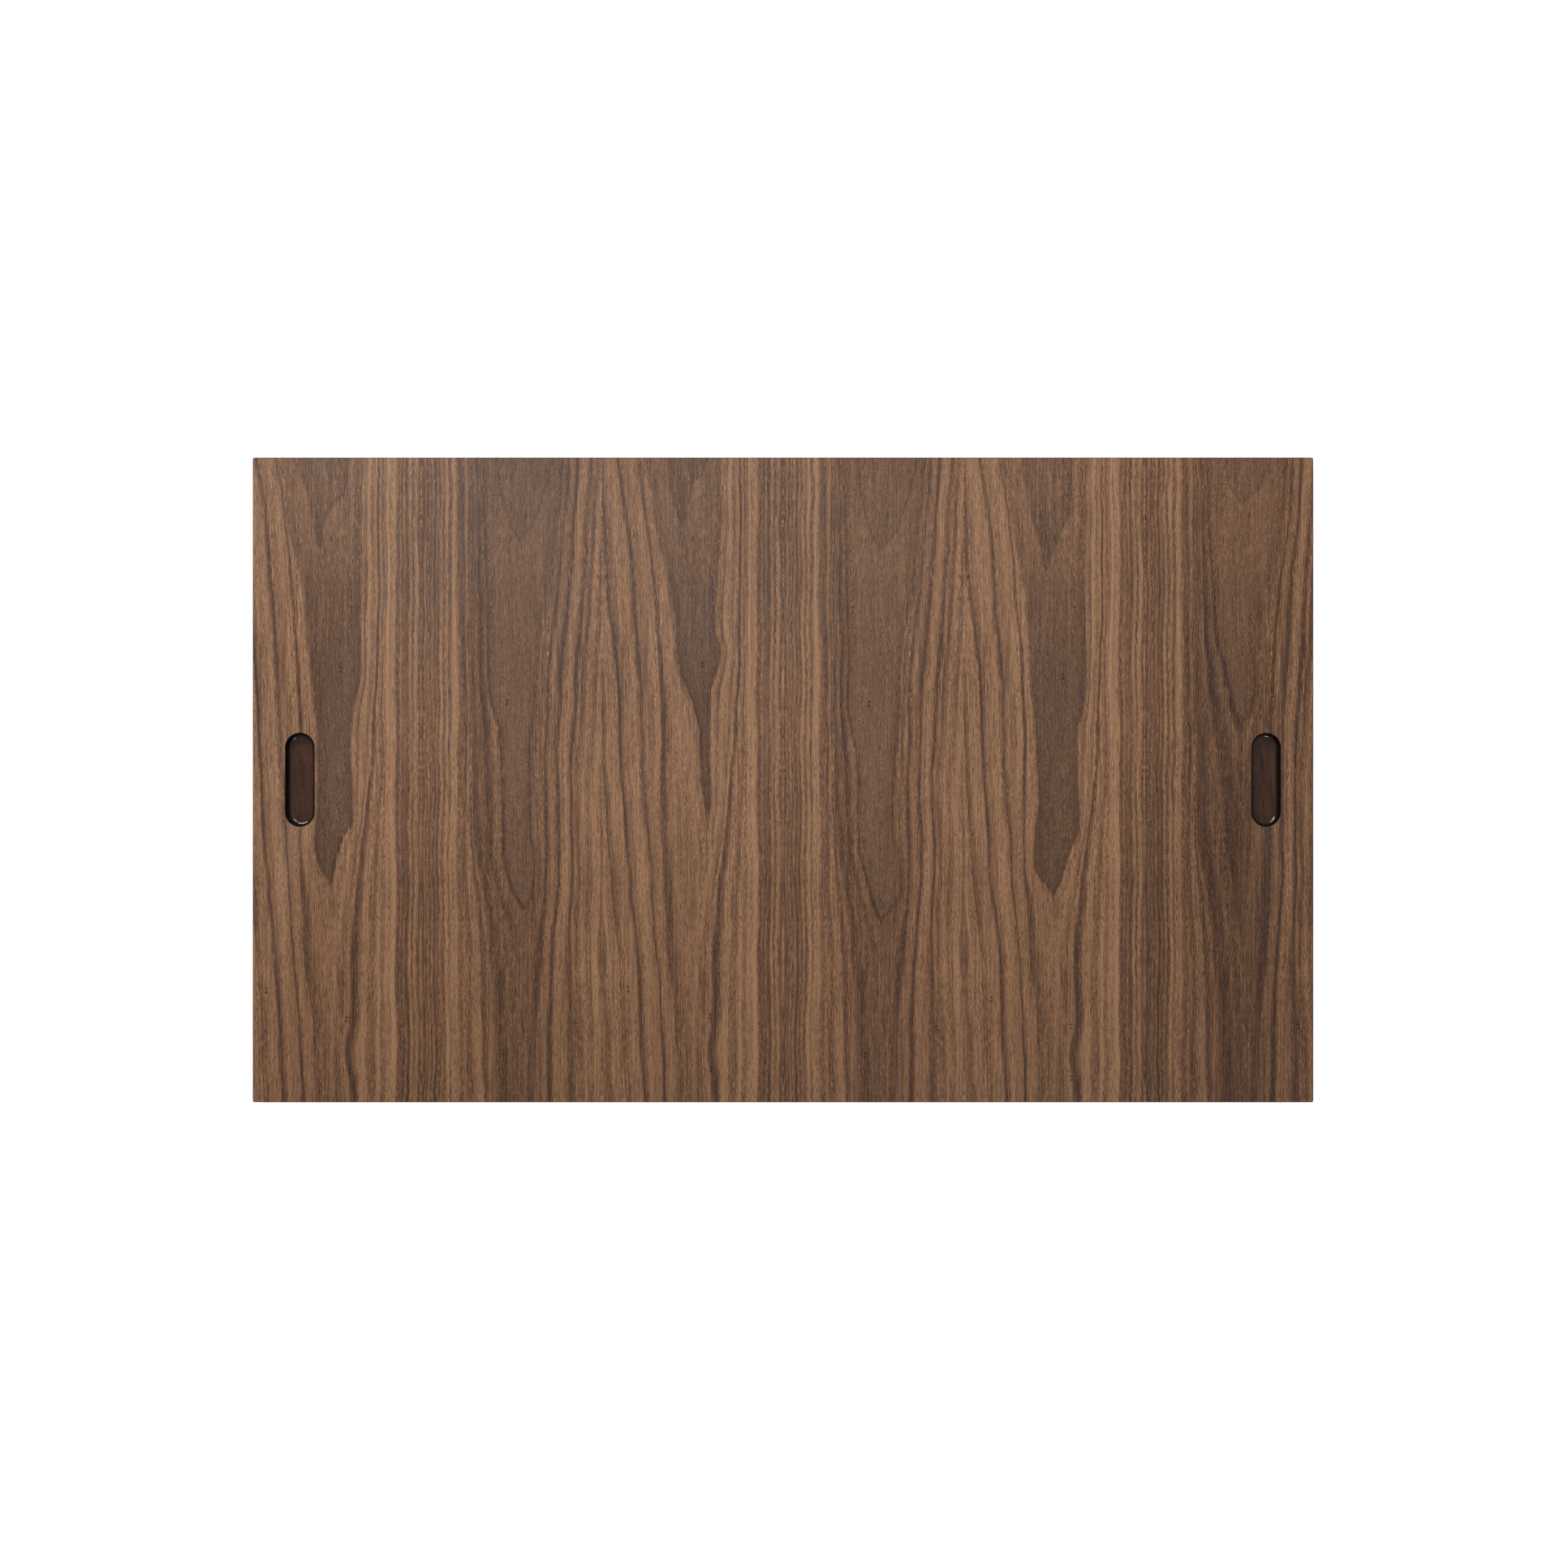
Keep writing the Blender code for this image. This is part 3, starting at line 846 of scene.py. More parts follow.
LEAVES = (
    Leaf(
        number=1,
        family=DARK_FLITCH,
        crown_left=((0, 41), (50, 42), (100, 44), (150, 43), (175, 48), (200, 50), (225, 49), (254, 48),
                    (262, 54), (272, 58), (296, 63), (350, 73), (450, 84)),
        crown_right=((0, 97), (50, 92), (75, 84), (100, 80), (140, 77), (165, 74), (200, 72), (240, 72),
                     (270, 74), (284, 70), (296, 63), (350, 47), (450, 42)),
        heart_left=((0, 51), (27, 54), (33, 60), (46, 67), (62, 70), (140, 100), (450, 120)),
        heart_right=((0, 90), (20, 80), (45, 74), (62, 70), (140, 40), (450, 20)),
        knots=((148, 56), (392, 52), (428, 50), (372, 108)),
        lighter=-0.01,
        back_end_painted_light=-0.03,
    ),
    Leaf(
        number=2,
        family=PALE_FLITCH,
        crown_left=((0, 43), (50, 45), (100, 47), (150, 48), (172, 50), (190, 56), (230, 58), (280, 60),
                    (303, 66), (314, 72), (350, 84), (450, 96)),
        crown_right=((0, 97), (60, 92), (90, 85), (125, 80), (170, 79), (200, 76), (230, 75), (260, 75),
                     (280, 79), (304, 78), (314, 72), (350, 52), (450, 44)),
        heart_left=((0, 52), (30, 57), (48, 62), (58, 68), (120, 92), (450, 120)),
        heart_right=((0, 92), (30, 84), (50, 76), (58, 68), (120, 50), (450, 20)),
        knots=((171, 60), (415, 57), (396, 108)),
        back_end_painted_light=-0.13,
        line=0.22,
        swirl=0.5,
    ),
    Leaf(
        number=3,
        family=DARK_FLITCH,
        crown_left=((0, 44), (80, 46), (120, 48), (133, 45), (142, 46), (155, 50), (165, 53), (190, 52),
                    (242, 51), (250, 52.5), (275, 57), (300, 63), (350, 74), (450, 84)),
        crown_right=((0, 96), (30, 90), (60, 85), (90, 78), (110, 75), (148, 72), (163, 66), (175, 61),
                     (190, 57.5), (220, 55.5), (250, 52.5), (290, 48), (350, 45), (450, 42)),
        heart_left=((0, 52), (12, 57), (16, 62), (30, 66), (46, 70), (120, 100), (450, 120)),
        heart_right=((0, 80), (30, 76), (46, 70), (120, 45), (450, 20)),
        knots=((145, 56), (390, 51), (427, 50), (371, 108)),
        back_end_painted_light=-0.13,
        line=0.34,
    ),
    Leaf(
        number=4,
        family=PALE_FLITCH,
        crown_left=((0, 42), (50, 44), (100, 46), (170, 46), (195, 50), (225, 54), (270, 53), (290, 58),
                    (305, 62), (322, 68), (360, 82), (450, 96)),
        crown_right=((0, 97), (60, 92), (105, 86), (130, 81), (170, 80), (200, 78), (255, 76), (280, 80),
                     (302, 81), (312, 77), (322, 68), (360, 50), (450, 44)),
        heart_left=((0, 52), (40, 57), (52, 61), (64, 68), (120, 92), (450, 120)),
        heart_right=((0, 94), (30, 86), (52, 78), (64, 68), (120, 50), (450, 20)),
        knots=((172, 60), (417, 57), (398, 107)),
        back_end_painted_light=-0.03,
        line=0.24,
        swirl=0.5,
    ),
    Leaf(
        number=5,
        family=DARK_FLITCH,
        crown_left=((0, 40), (50, 42), (100, 43), (150, 41), (175, 43), (195, 48), (230, 48), (256, 46),
                    (270, 50), (285, 56), (298, 61), (304, 64), (350, 74), (450, 86)),
        crown_right=((0, 99), (40, 93), (75, 86), (105, 81), (150, 80), (175, 77), (210, 75), (240, 73),
                     (265, 76), (284, 76), (295, 70), (304, 64), (350, 48), (450, 42)),
        heart_left=((0, 51), (30, 52), (45, 56), (57, 61), (78, 69), (150, 96), (450, 120)),
        heart_right=((0, 86), (35, 80), (65, 72), (78, 69), (150, 44), (450, 20)),
        knots=((153, 57), (397, 51), (433, 51), (378, 107)),
        back_end_painted_light=0.05,
        line=0.32,
    ),
    Leaf(
        number=6,
        family=PALE_FLITCH,
        crown_left=((0, 43), (60, 46), (100, 49), (125, 51), (145, 57), (165, 61), (186, 67), (230, 80),
                    (450, 100)),
        crown_right=((0, 97), (60, 92), (90, 84), (120, 78), (160, 77), (178, 73), (186, 67), (230, 54),
                     (450, 40)),
        heart_left=((0, 56), (20, 59), (32, 68), (80, 90), (450, 120)),
        heart_right=((0, 88), (20, 80), (32, 68), (80, 50), (450, 20)),
        knots=((172, 60), (416, 58), (397, 107)),
        lighter=-0.14,
        back_end_painted_light=0.15,
        line=0.22,
        swirl=0.8,
    ),
)


# ---------------------------------------------------------------------------------------------
# Finishes
# ---------------------------------------------------------------------------------------------


@dataclass(frozen=True)
class Finish:
    """What one kind of surface looks like.

    Attributes:
        name: The material's name.
        roughness: How matt it is on average.
        specular: How strongly a plain surface shines.
    """

    name: str
    roughness: float = 0.5
    specular: float = 0.5

    def lay(self, recipe: Recipe, shader: bpy.types.Node) -> None:
        """Lay the finish's own nodes on a material's node tree and feed its Principled BSDF."""
        raise NotImplementedError

    def place(self, recipe: Recipe) -> bpy.types.NodeSocket:
        """The place on the object, in millimetres."""
        coordinates = recipe.node("ShaderNodeTexCoord")
        return recipe.stretch(coordinates.outputs["Object"], (1 / MM,) * 3)

    def bump(self, recipe: Recipe, shader: bpy.types.Node, height: Feed, depth: float) -> None:
        """Give the surface its relief.

        Args:
            recipe: The material's node tree.
            shader: Its Principled BSDF.
            height: The relief, from 0 to 1.
            depth: How deep it is, in millimetres.
        """
        made = recipe.node("ShaderNodeBump")
        made.inputs["Strength"].default_value = 1.0
        made.inputs["Distance"].default_value = depth * MM
        recipe.feed(made.inputs["Height"], height)
        recipe.feed(shader.inputs["Normal"], made.outputs[0])

    def material(self) -> bpy.types.Material:
        """The material, built if it isn't there yet.

        Returns:
            The material.
        """
        known = bpy.data.materials.get(self.name)
        if known:
            return known
        made = bpy.data.materials.new(self.name)
        made.use_nodes = True
        shader = made.node_tree.nodes["Principled BSDF"]
        shader.inputs["Roughness"].default_value = self.roughness
        shader.inputs["Specular IOR Level"].default_value = self.specular
        self.lay(Recipe(made.node_tree), shader)
        return made


@dataclass(frozen=True)
class Strength:
    """How strongly one layer of the wood shows: in figured wood, and inside a plain crown."""

    figured: float
    plain: float

    def at(self, recipe: Recipe, plain: Feed) -> bpy.types.NodeSocket:
        """The strength where the wood is that plain."""
        return recipe.mix(plain, self.figured, self.plain)


TONE_REACH = 1.25
WALNUT_TONES = (
    (0.0, (54, 33, 23)),
    (0.2, (80, 53, 37)),
    (0.36, (100, 69, 48)),
    (0.48, (112, 78, 54)),
    (0.6, (124, 87, 60)),
    (0.72, (137, 98, 69)),
    (0.8, (146, 106, 76)),
    (1.0, (168, 128, 95)),
)
COOL_GREY = (0.93, 1.0, 1.15, 1.0)
# Painted shade: how much darker the far end of each leaf is, on the face the tray's front, away from the key
# light.
FAR_END_SHADE = (0.83, 0.81, 0.78, 1.0)
KNOT_BROWN = (36, 22, 17)


@dataclass(frozen=True)
class WalnutLeaf(Finish):
    """Satin-lacquered walnut veneer with its cathedral figure.

    Attributes:
        leaf: The leaf's lines and knots.
        seam: Where its quarter-sawn seam is, in metres along X.
        side: 1 where the leaf runs right from that seam, -1 where it runs left.
        along_start: Where the leaf's figure starts, in millimetres along Y.
        along_side: -1 where the figure runs towards the front, 1 where it runs towards the back.
        shade: How light it is against the face leaves.
        streaks: How strongly long streaks show.
        fine: How strongly the finest grain shows.
        pores: How dark open pores are.
        speckle: How much of the finest grain is short specks.
        ribbon: How strongly broad ribbons show.
        tone_gain: How far the figure's tones are spread.
        tone_drop: How much darker than the figure's tones the wood is.
        quiet_streaks: How much of the streaks is left by the quarter-sawn seam.
        grey: How far the crown's grey goes.
    """

    leaf: Leaf = LEAVES[0]
    seam: float = 0.0
    side: int = 1
    along_start: float = 225.0
    along_side: int = -1
    shade: float = 1.0
    streaks: Strength = Strength(0.42, 0.2)
    fine: Strength = Strength(1.1, 1.1)
    pores: Strength = Strength(0.28, 0.2)
    speckle: Strength = Strength(0.5, 0.85)
    ribbon: Strength = Strength(1.0, 0.5)
    tone_gain: float = 1.1
    tone_drop: float = 0.1
    quiet_streaks: float = 0.55
    grey: float = 0.5

    def leaf_place(self, recipe: Recipe) -> bpy.types.NodeSocket:
        """The place on the leaf: across it, along it and through it, in millimetres.

        Args:
            recipe: The material's node tree.

        Returns:
            The place.
        """
        coordinates = recipe.node("ShaderNodeTexCoord")
        turned = recipe.node("ShaderNodeMapping")
        turned.inputs["Scale"].default_value = (self.side / MM, self.along_side / MM, 1 / MM)
        turned.inputs["Location"].default_value = (
            -self.seam * self.side / MM,
            -self.along_side * self.along_start,
            0.0,
        )
        recipe.feed(turned.inputs["Vector"], coordinates.outputs["Object"])
        return turned.outputs[0]

    def figure(self, recipe: Recipe, place: Feed) -> dict[str, bpy.types.NodeSocket]:
        """The leaf's figure.

        Args:
            recipe: The material's node tree.
            place: The place on the leaf.

        Returns:
            The outputs of the ring family's figure.
        """
        leaf = self.leaf
        bent = Wander().place(recipe, {"Place": place, "Seed": float(leaf.number)})
        feeds: dict[str, Feed] = {
            "Across": bent["Across"],
            "Along": bent["Along"],
            "Line Strength": leaf.line,
        }
        for name, line in (
            ("Crown Left", leaf.crown_left),
            ("Crown Right", leaf.crown_right),
            ("Heart Left", leaf.heart_left),
            ("Heart Right", leaf.heart_right),
        ):
            feeds[name] = recipe.curve(bent["Along"], line, LEAF_REACH, ACROSS_REACH)
        return Figure(leaf.family).place(recipe, feeds)

    def knots(self, recipe: Recipe, place: Feed) -> tuple[Feed, Feed]:
        """The leaf's pin knots.

        Args:
            recipe: The material's node tree.
            place: The place on the leaf.

        Returns:
            A mask of the dark specks and one of the pale swirl at the first knot.
        """
        specks: Feed = 0.0
        swirl: Feed = 0.0
        for index, (along, across) in enumerate(self.leaf.knots):
            size = 1.0 if index == 0 else 0.75
            knot = PinKnot().place(recipe, {"Place": place, "Across": across, "Along": along, "Size": size})
            specks = recipe.math("MAXIMUM", specks, knot["Speck"])
            if index == 0:
                swirl = knot["Swirl"]
        return specks, swirl

    def tone(
        self, recipe: Recipe, place: Feed, figure: dict[str, Feed], fibre: dict[str, Feed]
    ) -> bpy.types.NodeSocket:
        """The wood's tone: the figure with its clouds, streaks, finest grain and pores, and painted sheen
        and shade at the leaf's back end.

        Args:
            recipe: The material's node tree.
            place: The place on the leaf.
            figure: The figure's outputs.
            fibre: The fibre's outputs.

        Returns:
            The tone.
        """
        across, along, _ = recipe.split(place)
        plain = figure["Plain"]
        # Painted sheen and shade: the leaf's back half is lightened where back_end_painted_light is positive
        # and darkened where it is negative.
        back = recipe.share(along, LEAF_REACH / 2, 0.0)
        level = recipe.plus(recipe.times(back, self.leaf.back_end_painted_light), self.leaf.lighter - self.tone_drop)
        tone = recipe.plus(recipe.times(figure["Tone"], self.tone_gain), level)
        cloud = recipe.swing(recipe.stretch(place, (0.04, 0.009, 0.04)), 0.16, 2.0)
        ribbon = recipe.swing(recipe.stretch(place, (0.28, 0.018, 0.04)), 0.3, 2.0)
        cloud = recipe.plus(cloud, recipe.times(ribbon, self.ribbon.at(recipe, plain)))
        quiet = recipe.step(across, 34.0, 20.0)
        streaks = recipe.times(fibre["Streak"], self.streaks.at(recipe, plain))
        streaks = recipe.times(streaks, recipe.mix(quiet, 1.0, self.quiet_streaks))
        fine = recipe.times(fibre["Fine"], self.fine.at(recipe, plain))
        tone = recipe.plus(recipe.plus(tone, cloud), recipe.plus(streaks, fine))
        return recipe.minus(tone, recipe.times(fibre["Pores"], self.pores.at(recipe, plain)))

    def lay(self, recipe: Recipe, shader: bpy.types.Node) -> None:
        """Lay the figure, the fibre, painted shade at each leaf's far end and the lacquer; see Finish.lay."""
        place = self.leaf_place(recipe)
        figure = self.figure(recipe, place)
        speckle = self.speckle.at(recipe, figure["Plain"])
        fibre = Fibre().place(recipe, {"Place": place, "Pore Amount": 0.45, "Speckle": speckle})
        specks, swirl = self.knots(recipe, place)
        tone = self.tone(recipe, place, figure, fibre)
        tone = recipe.plus(tone, recipe.times(swirl, self.leaf.swirl * 0.3))
        wood = recipe.ramp(recipe.times(tone, 1 / TONE_REACH), WALNUT_TONES)
        wood = recipe.tint(recipe.times(figure["Grey"], self.grey), wood, COOL_GREY, "MULTIPLY")
        # Painted shade: each leaf darkens towards the far end of its figure, on the face the tray's front
        # edge, away from the key light.
        far_end_shade = recipe.step(recipe.split(place)[1], 200.0, LEAF_REACH)
        wood = recipe.tint(far_end_shade, wood, FAR_END_SHADE, "MULTIPLY")
        wood = recipe.tint(1.0, wood, (self.shade,) * 3 + (1.0,), "MULTIPLY")
        wood = recipe.tint(recipe.times(specks, 0.85), wood, linear(KNOT_BROWN))
        recipe.feed(shader.inputs["Base Color"], wood)
        matt = recipe.plus(self.roughness, recipe.times(fibre["Streak"], 0.04))
        handled = recipe.swing(recipe.stretch(place, (0.02, 0.02, 0.02)), 0.04, 3.0)
        matt = recipe.plus(matt, recipe.plus(handled, recipe.times(fibre["Pores"], 0.1)))
        recipe.feed(shader.inputs["Roughness"], matt)
        relief = recipe.plus(recipe.times(fibre["Streak"], 0.2), recipe.times(fibre["Pores"], -0.7))
        relief = recipe.minus(recipe.plus(relief, 0.75), recipe.times(specks, 0.6))
        self.bump(recipe, shader, relief, 0.03)


@dataclass(frozen=True)
class StainedWood(Finish):
    """Solid wood stained almost black and lacquered: lippings, eased edges and grip cups.

    Attributes:
        grain: Which way the grain runs.
        dark: The colour of the late wood and of upright walls.
        light: The colour of the early wood on level faces.
        wall_stain_and_shade: How much darker upright walls are than level faces: partly stain soaked into end
        grain, partly painted shade where walls and fillets stand in a recess.
        turn: How upright a normal is where a face starts to count as a wall.
        depth: How deep the open grain is, in millimetres.
        rubbed: The colour that shows where handling rubs the stain through.
    """

    grain: Grain = Grain.ALONG_X
    dark: Rgb = (28, 17, 12)
    light: Rgb = (70, 45, 33)
    wall_stain_and_shade: float = 0.5
    turn: float = 0.45
    depth: float = 0.03
    rubbed: Rgb = (78, 54, 40)

    def lay(self, recipe: Recipe, shader: bpy.types.Node) -> None:
        """Lay drawn-out grain, walls darkened by stain and painted shade, and a rubbed look; see Finish.lay.
        """
        place = self.place(recipe)
        drawn = recipe.stretch(place, tuple(1 / part for part in self.grain.value))
        across, along, through = recipe.split(drawn)
        if self.grain is Grain.ALONG_Y:
            fibre_place = recipe.join(across, recipe.times(along, 9.0), through)
        else:
            fibre_place = recipe.join(along, recipe.times(across, 9.0), through)
        fibre = Fibre().place(recipe, {"Place": fibre_place, "Streak Length": 12.0, "Pore Amount": 0.55})
        bands = recipe.noise(recipe.stretch(drawn, (0.4, 0.4, 0.4)), 3.0, 0.6)
        tone = recipe.plus(recipe.times(bands, 1.1), recipe.times(fibre["Streak"], 0.22))
        tone = recipe.minus(recipe.plus(tone, recipe.times(fibre["Fine"], 0.2)), 0.1)
        tone = recipe.minus(tone, recipe.times(fibre["Pores"], 0.45))
        # Upright walls and steep fillets are darkened: partly stain in the end grain, partly painted shade,
        # as in the grip cups' recesses.
        normal = recipe.split(recipe.node("ShaderNodeNewGeometry").outputs["Normal"])[2]
        level = recipe.step(recipe.math("ABSOLUTE", normal), self.turn, 0.9995)
        tone = recipe.times(tone, recipe.mix(level, 1.0 - self.wall_stain_and_shade, 1.0))
        wood = recipe.ramp(tone, ((0.0, self.dark), (1.0, self.light)))
        patches = recipe.noise(recipe.stretch(place, (0.12, 0.12, 0.3)), 4.0, 0.65)
        rub = EdgeWear().place(
            recipe, {"Place": place, "Distance": recipe.minus(0.72, patches), "Reach": 0.06, "Breakup": 0.3}
        )
        wood = recipe.tint(recipe.times(rub["Worn"], 0.35), wood, linear(self.rubbed))
        recipe.feed(shader.inputs["Base Color"], wood)
        matt = recipe.plus(self.roughness, recipe.times(fibre["Pores"], 0.12))
        matt = recipe.plus(matt, recipe.times(recipe.minus(bands, 0.5), 0.1))
        recipe.feed(shader.inputs["Roughness"], matt)
        relief = recipe.plus(recipe.times(fibre["Streak"], 0.2), recipe.times(fibre["Pores"], -0.6))
        self.bump(recipe, shader, recipe.plus(relief, 0.7), self.depth)


@dataclass(frozen=True)
class Plywood(Finish):
    """Bare plywood: thin plies that show at the edges, and plain rotary-cut grain on the faces.

    Attributes:
        ply: The thickness of one ply, in millimetres.
    """

    ply: float = 1.4

    def lay(self, recipe: Recipe, shader: bpy.types.Node) -> None:
        """Lay alternate plies and their grain; see Finish.lay."""
        place = self.place(recipe)
        through = recipe.split(place)[2]
        turn = recipe.math("PINGPONG", recipe.math("DIVIDE", through, self.ply), 1.0)
        crossed = recipe.step(turn, 0.42, 0.58)
        fibre = Fibre().place(recipe, {"Place": place, "Streak Width": 1.2, "Streak Length": 18.0})
        cloud = recipe.noise(recipe.stretch(place, (0.02, 0.006, 0.5)), 4.0, 0.6)
        tone = recipe.plus(recipe.times(cloud, 0.9), recipe.times(fibre["Streak"], 0.18))
        tone = recipe.minus(tone, recipe.times(crossed, 0.25))
        stops = ((0.0, (150, 112, 76)), (0.5, (196, 160, 118)), (1.0, (220, 190, 150)))
        recipe.feed(shader.inputs["Base Color"], recipe.ramp(tone, stops))
        recipe.feed(shader.inputs["Roughness"], recipe.plus(self.roughness, recipe.times(cloud, 0.15)))
        self.bump(recipe, shader, recipe.plus(recipe.times(fibre["Streak"], 0.3), 0.5), 0.05)


@dataclass(frozen=True)
class Rubber(Finish):
    """Black moulded rubber with a spark-eroded skin and a little dust.

    Attributes:
        body: Its colour.
        dust: The colour of the dust on it.
    """

    body: Rgb = (38, 37, 37)
    dust: Rgb = (96, 92, 88)

    def lay(self, recipe: Recipe, shader: bpy.types.Node) -> None:
        """Lay the moulded skin and the dust; see Finish.lay."""
        place = self.place(recipe)
        skin = recipe.noise(recipe.stretch(place, (5.0, 5.0, 5.0)), 2.0, 0.7)
        patches = recipe.noise(recipe.stretch(place, (0.35, 0.35, 0.35)), 4.0, 0.6)
        dusty = EdgeWear().place(
            recipe, {"Place": place, "Distance": recipe.minus(0.75, patches), "Reach": 0.3, "Breakup": 0.6}
        )
        body = recipe.tint(recipe.times(dusty["Worn"], 0.3), linear(self.body), linear(self.dust))
        body = recipe.tint(recipe.times(skin, 0.4), body, linear((22, 21, 21)))
        recipe.feed(shader.inputs["Base Color"], body)
        matt = recipe.plus(self.roughness, recipe.times(recipe.minus(skin, 0.5), 0.2))
        recipe.feed(shader.inputs["Roughness"], matt)
        self.bump(recipe, shader, skin, 0.04)


@dataclass(frozen=True)
class PlatedSteel(Finish):
    """Zinc-plated steel with turning marks and dulled patches.

    Attributes:
        centre: The middle of the turned piece, in metres.
    """

    centre: tuple[float, float] = (0.0, 0.0)

    def lay(self, recipe: Recipe, shader: bpy.types.Node) -> None:
        """Lay the turning marks and the dulling; see Finish.lay."""
        place = self.place(recipe)
        centred = recipe.stretch(place, (1.0, 1.0, 1.0), (-self.centre[0] / MM, -self.centre[1] / MM, 0.0))
        across, along, through = recipe.split(centred)
        radius = recipe.distance(across, along)
        marks = recipe.noise(recipe.join(recipe.times(radius, 9.0), recipe.times(through, 9.0), 0.0), 2.0)
        dull = recipe.noise(recipe.stretch(place, (0.6, 0.6, 0.6)), 4.0, 0.6)
        worn = EdgeWear().place(
            recipe, {"Place": place, "Distance": recipe.minus(0.7, dull), "Reach": 0.25, "Breakup": 0.4}
        )
        metal = recipe.tint(dull, linear((186, 188, 190)), linear((206, 205, 198)))
        metal = recipe.tint(recipe.times(worn["Worn"], 0.4), metal, linear((140, 138, 134)))
        recipe.feed(shader.inputs["Base Color"], metal)
        shader.inputs["Metallic"].default_value = 1.0
        matt = recipe.plus(self.roughness, recipe.times(worn["Worn"], 0.2))
        matt = recipe.plus(matt, recipe.times(recipe.minus(marks, 0.5), 0.15))
        recipe.feed(shader.inputs["Roughness"], matt)
        self.bump(recipe, shader, marks, 0.01)


@dataclass(frozen=True)
class StudioFloor(Finish):
    """The studio's plain pale floor.

    Attributes:
        glow: How much it lightens its own shadows.
    """

    glow: float = 0.8

    def lay(self, recipe: Recipe, shader: bpy.types.Node) -> None:
        """Lay an even paint with a faint roller texture; see Finish.lay."""
        place = self.place(recipe)
        roller = recipe.noise(recipe.stretch(place, (0.02, 0.02, 0.02)), 2.0)
        paint = recipe.tint(roller, linear((243, 243, 243)), linear((247, 247, 247)))
        recipe.feed(shader.inputs["Base Color"], paint)
        shader.inputs["Emission Color"].default_value = WHITE
        shader.inputs["Emission Strength"].default_value = self.glow


# ---------------------------------------------------------------------------------------------
# Shaping pieces
# ---------------------------------------------------------------------------------------------

Test = Callable[[Vector, Vector], bool]


class Workpiece:
    """A piece on the bench: a primitive that is shaped, dressed and handed to the frame."""

    def __init__(self, name: str) -> None:
        """Take the object that a primitive operator has just added.

        Args:
            name: The piece's name.
        """
        self.obj: bpy.types.Object = bpy.context.active_object
        self.obj.name = name
        self.obj.data.name = name

    @staticmethod
    def clear() -> None:
        """Deselect everything, so that an operator works on the new piece alone."""
        for obj in bpy.context.selected_objects:
            obj.select_set(False)

    @classmethod
    def block(cls, name: str, low: Vector, high: Vector) -> "Workpiece":
        """Start from a cube.

        Args:
            name: The piece's name.
            low: Its lowest corner.
            high: Its highest corner.

        Returns:
            The piece.
        """
        cls.clear()
        bpy.ops.mesh.primitive_cube_add(size=1.0, location=(low + high) / 2, scale=high - low)
        return cls(name).settle()

    @classmethod
    def rod(cls, name: str, radius: float, bottom: Vector, top: float, sides: int = 64) -> "Workpiece":
        """Start from an upright cylinder.

        Args:
            name: The piece's name.
            radius: Its radius.
            bottom: The middle of its lower face.
            top: The height of its upper face.
            sides: How many sides it has.

        Returns:
            The piece.
        """
        cls.clear()
        middle = Vector((bottom.x, bottom.y, (bottom.z + top) / 2))
        bpy.ops.mesh.primitive_cylinder_add(
            vertices=sides, radius=radius, depth=top - bottom.z, location=middle
        )
        return cls(name).settle()

    def settle(self) -> "Workpiece":
        """Put the piece's place, turn and scale into its mesh.

        Returns:
            The piece.
        """
        self.focus()
        bpy.ops.object.transform_apply(location=True, rotation=True, scale=True)
        return self

    def focus(self) -> None:
        """Make this the only selected piece, and the active one."""
        self.clear()
        self.obj.select_set(True)
        bpy.context.view_layer.objects.active = self.obj

    def edit(self, kind: Pick, test: Test) -> int:
        """Go into edit mode with some of the piece selected.

        Args:
            kind: Whether faces or edges are picked.
            test: Says of a middle and a normal (of an edge: its direction) whether it is picked.

        Returns:
            How many are picked.
        """
        self.focus()
        bpy.ops.object.mode_set(mode="EDIT")
        bpy.ops.mesh.select_mode(type=kind.value)
        bpy.ops.mesh.select_all(action="DESELECT")
        grid = bmesh.from_edit_mesh(self.obj.data)
        picked = 0
        if kind is Pick.FACES:
            for face in grid.faces:
                if test(face.calc_center_median(), face.normal):
                    face.select_set(True)
                    picked += 1
        else:
            for edge in grid.edges:
                start, end = (vert.co for vert in edge.verts)
                if test((start + end) / 2, (end - start).normalized()):
                    edge.select_set(True)
                    picked += 1
        bmesh.update_edit_mesh(self.obj.data)
        return picked

    def leave(self) -> "Workpiece":
        """Go back to object mode and pass the piece on."""
        bpy.ops.object.mode_set(mode="OBJECT")
        return self

    def bevel(self, test: Test, width: float, segments: int) -> "Workpiece":
        """Round or ease some edges.

        Args:
            test: Picks the edges by their middle and direction.
            width: The radius or width of the bevel.
            segments: How many faces it has across.

        Returns:
            The piece.
        """
        if self.edit(Pick.EDGES, test):
            bpy.ops.mesh.bevel(offset=width, segments=segments, affect="EDGES", clamp_overlap=False)
        return self.leave()

    def weld(self) -> "Workpiece":
        """Merge points that lie on each other, and turn all faces outward.

        Returns:
            The piece.
        """
        self.edit(Pick.FACES, lambda middle, normal: True)
        bpy.ops.mesh.remove_doubles(threshold=HAIR / 2)
        bpy.ops.mesh.normals_make_consistent(inside=False)
        return self.leave()

    def sink(self, test: Test, rim: float, depth: float) -> "Workpiece":
        """Inset a face and push it in or pull it out.

        Args:
            test: Picks the face by its middle and normal.
            rim: How wide the inset is.
            depth: How far along Z the face moves.

        Returns:
            The piece.
        """
        self.edit(Pick.FACES, test)
        bpy.ops.mesh.inset(thickness=rim)
        bpy.ops.mesh.extrude_region_move(TRANSFORM_OT_translate={"value": (0.0, 0.0, depth)})
        return self.leave()

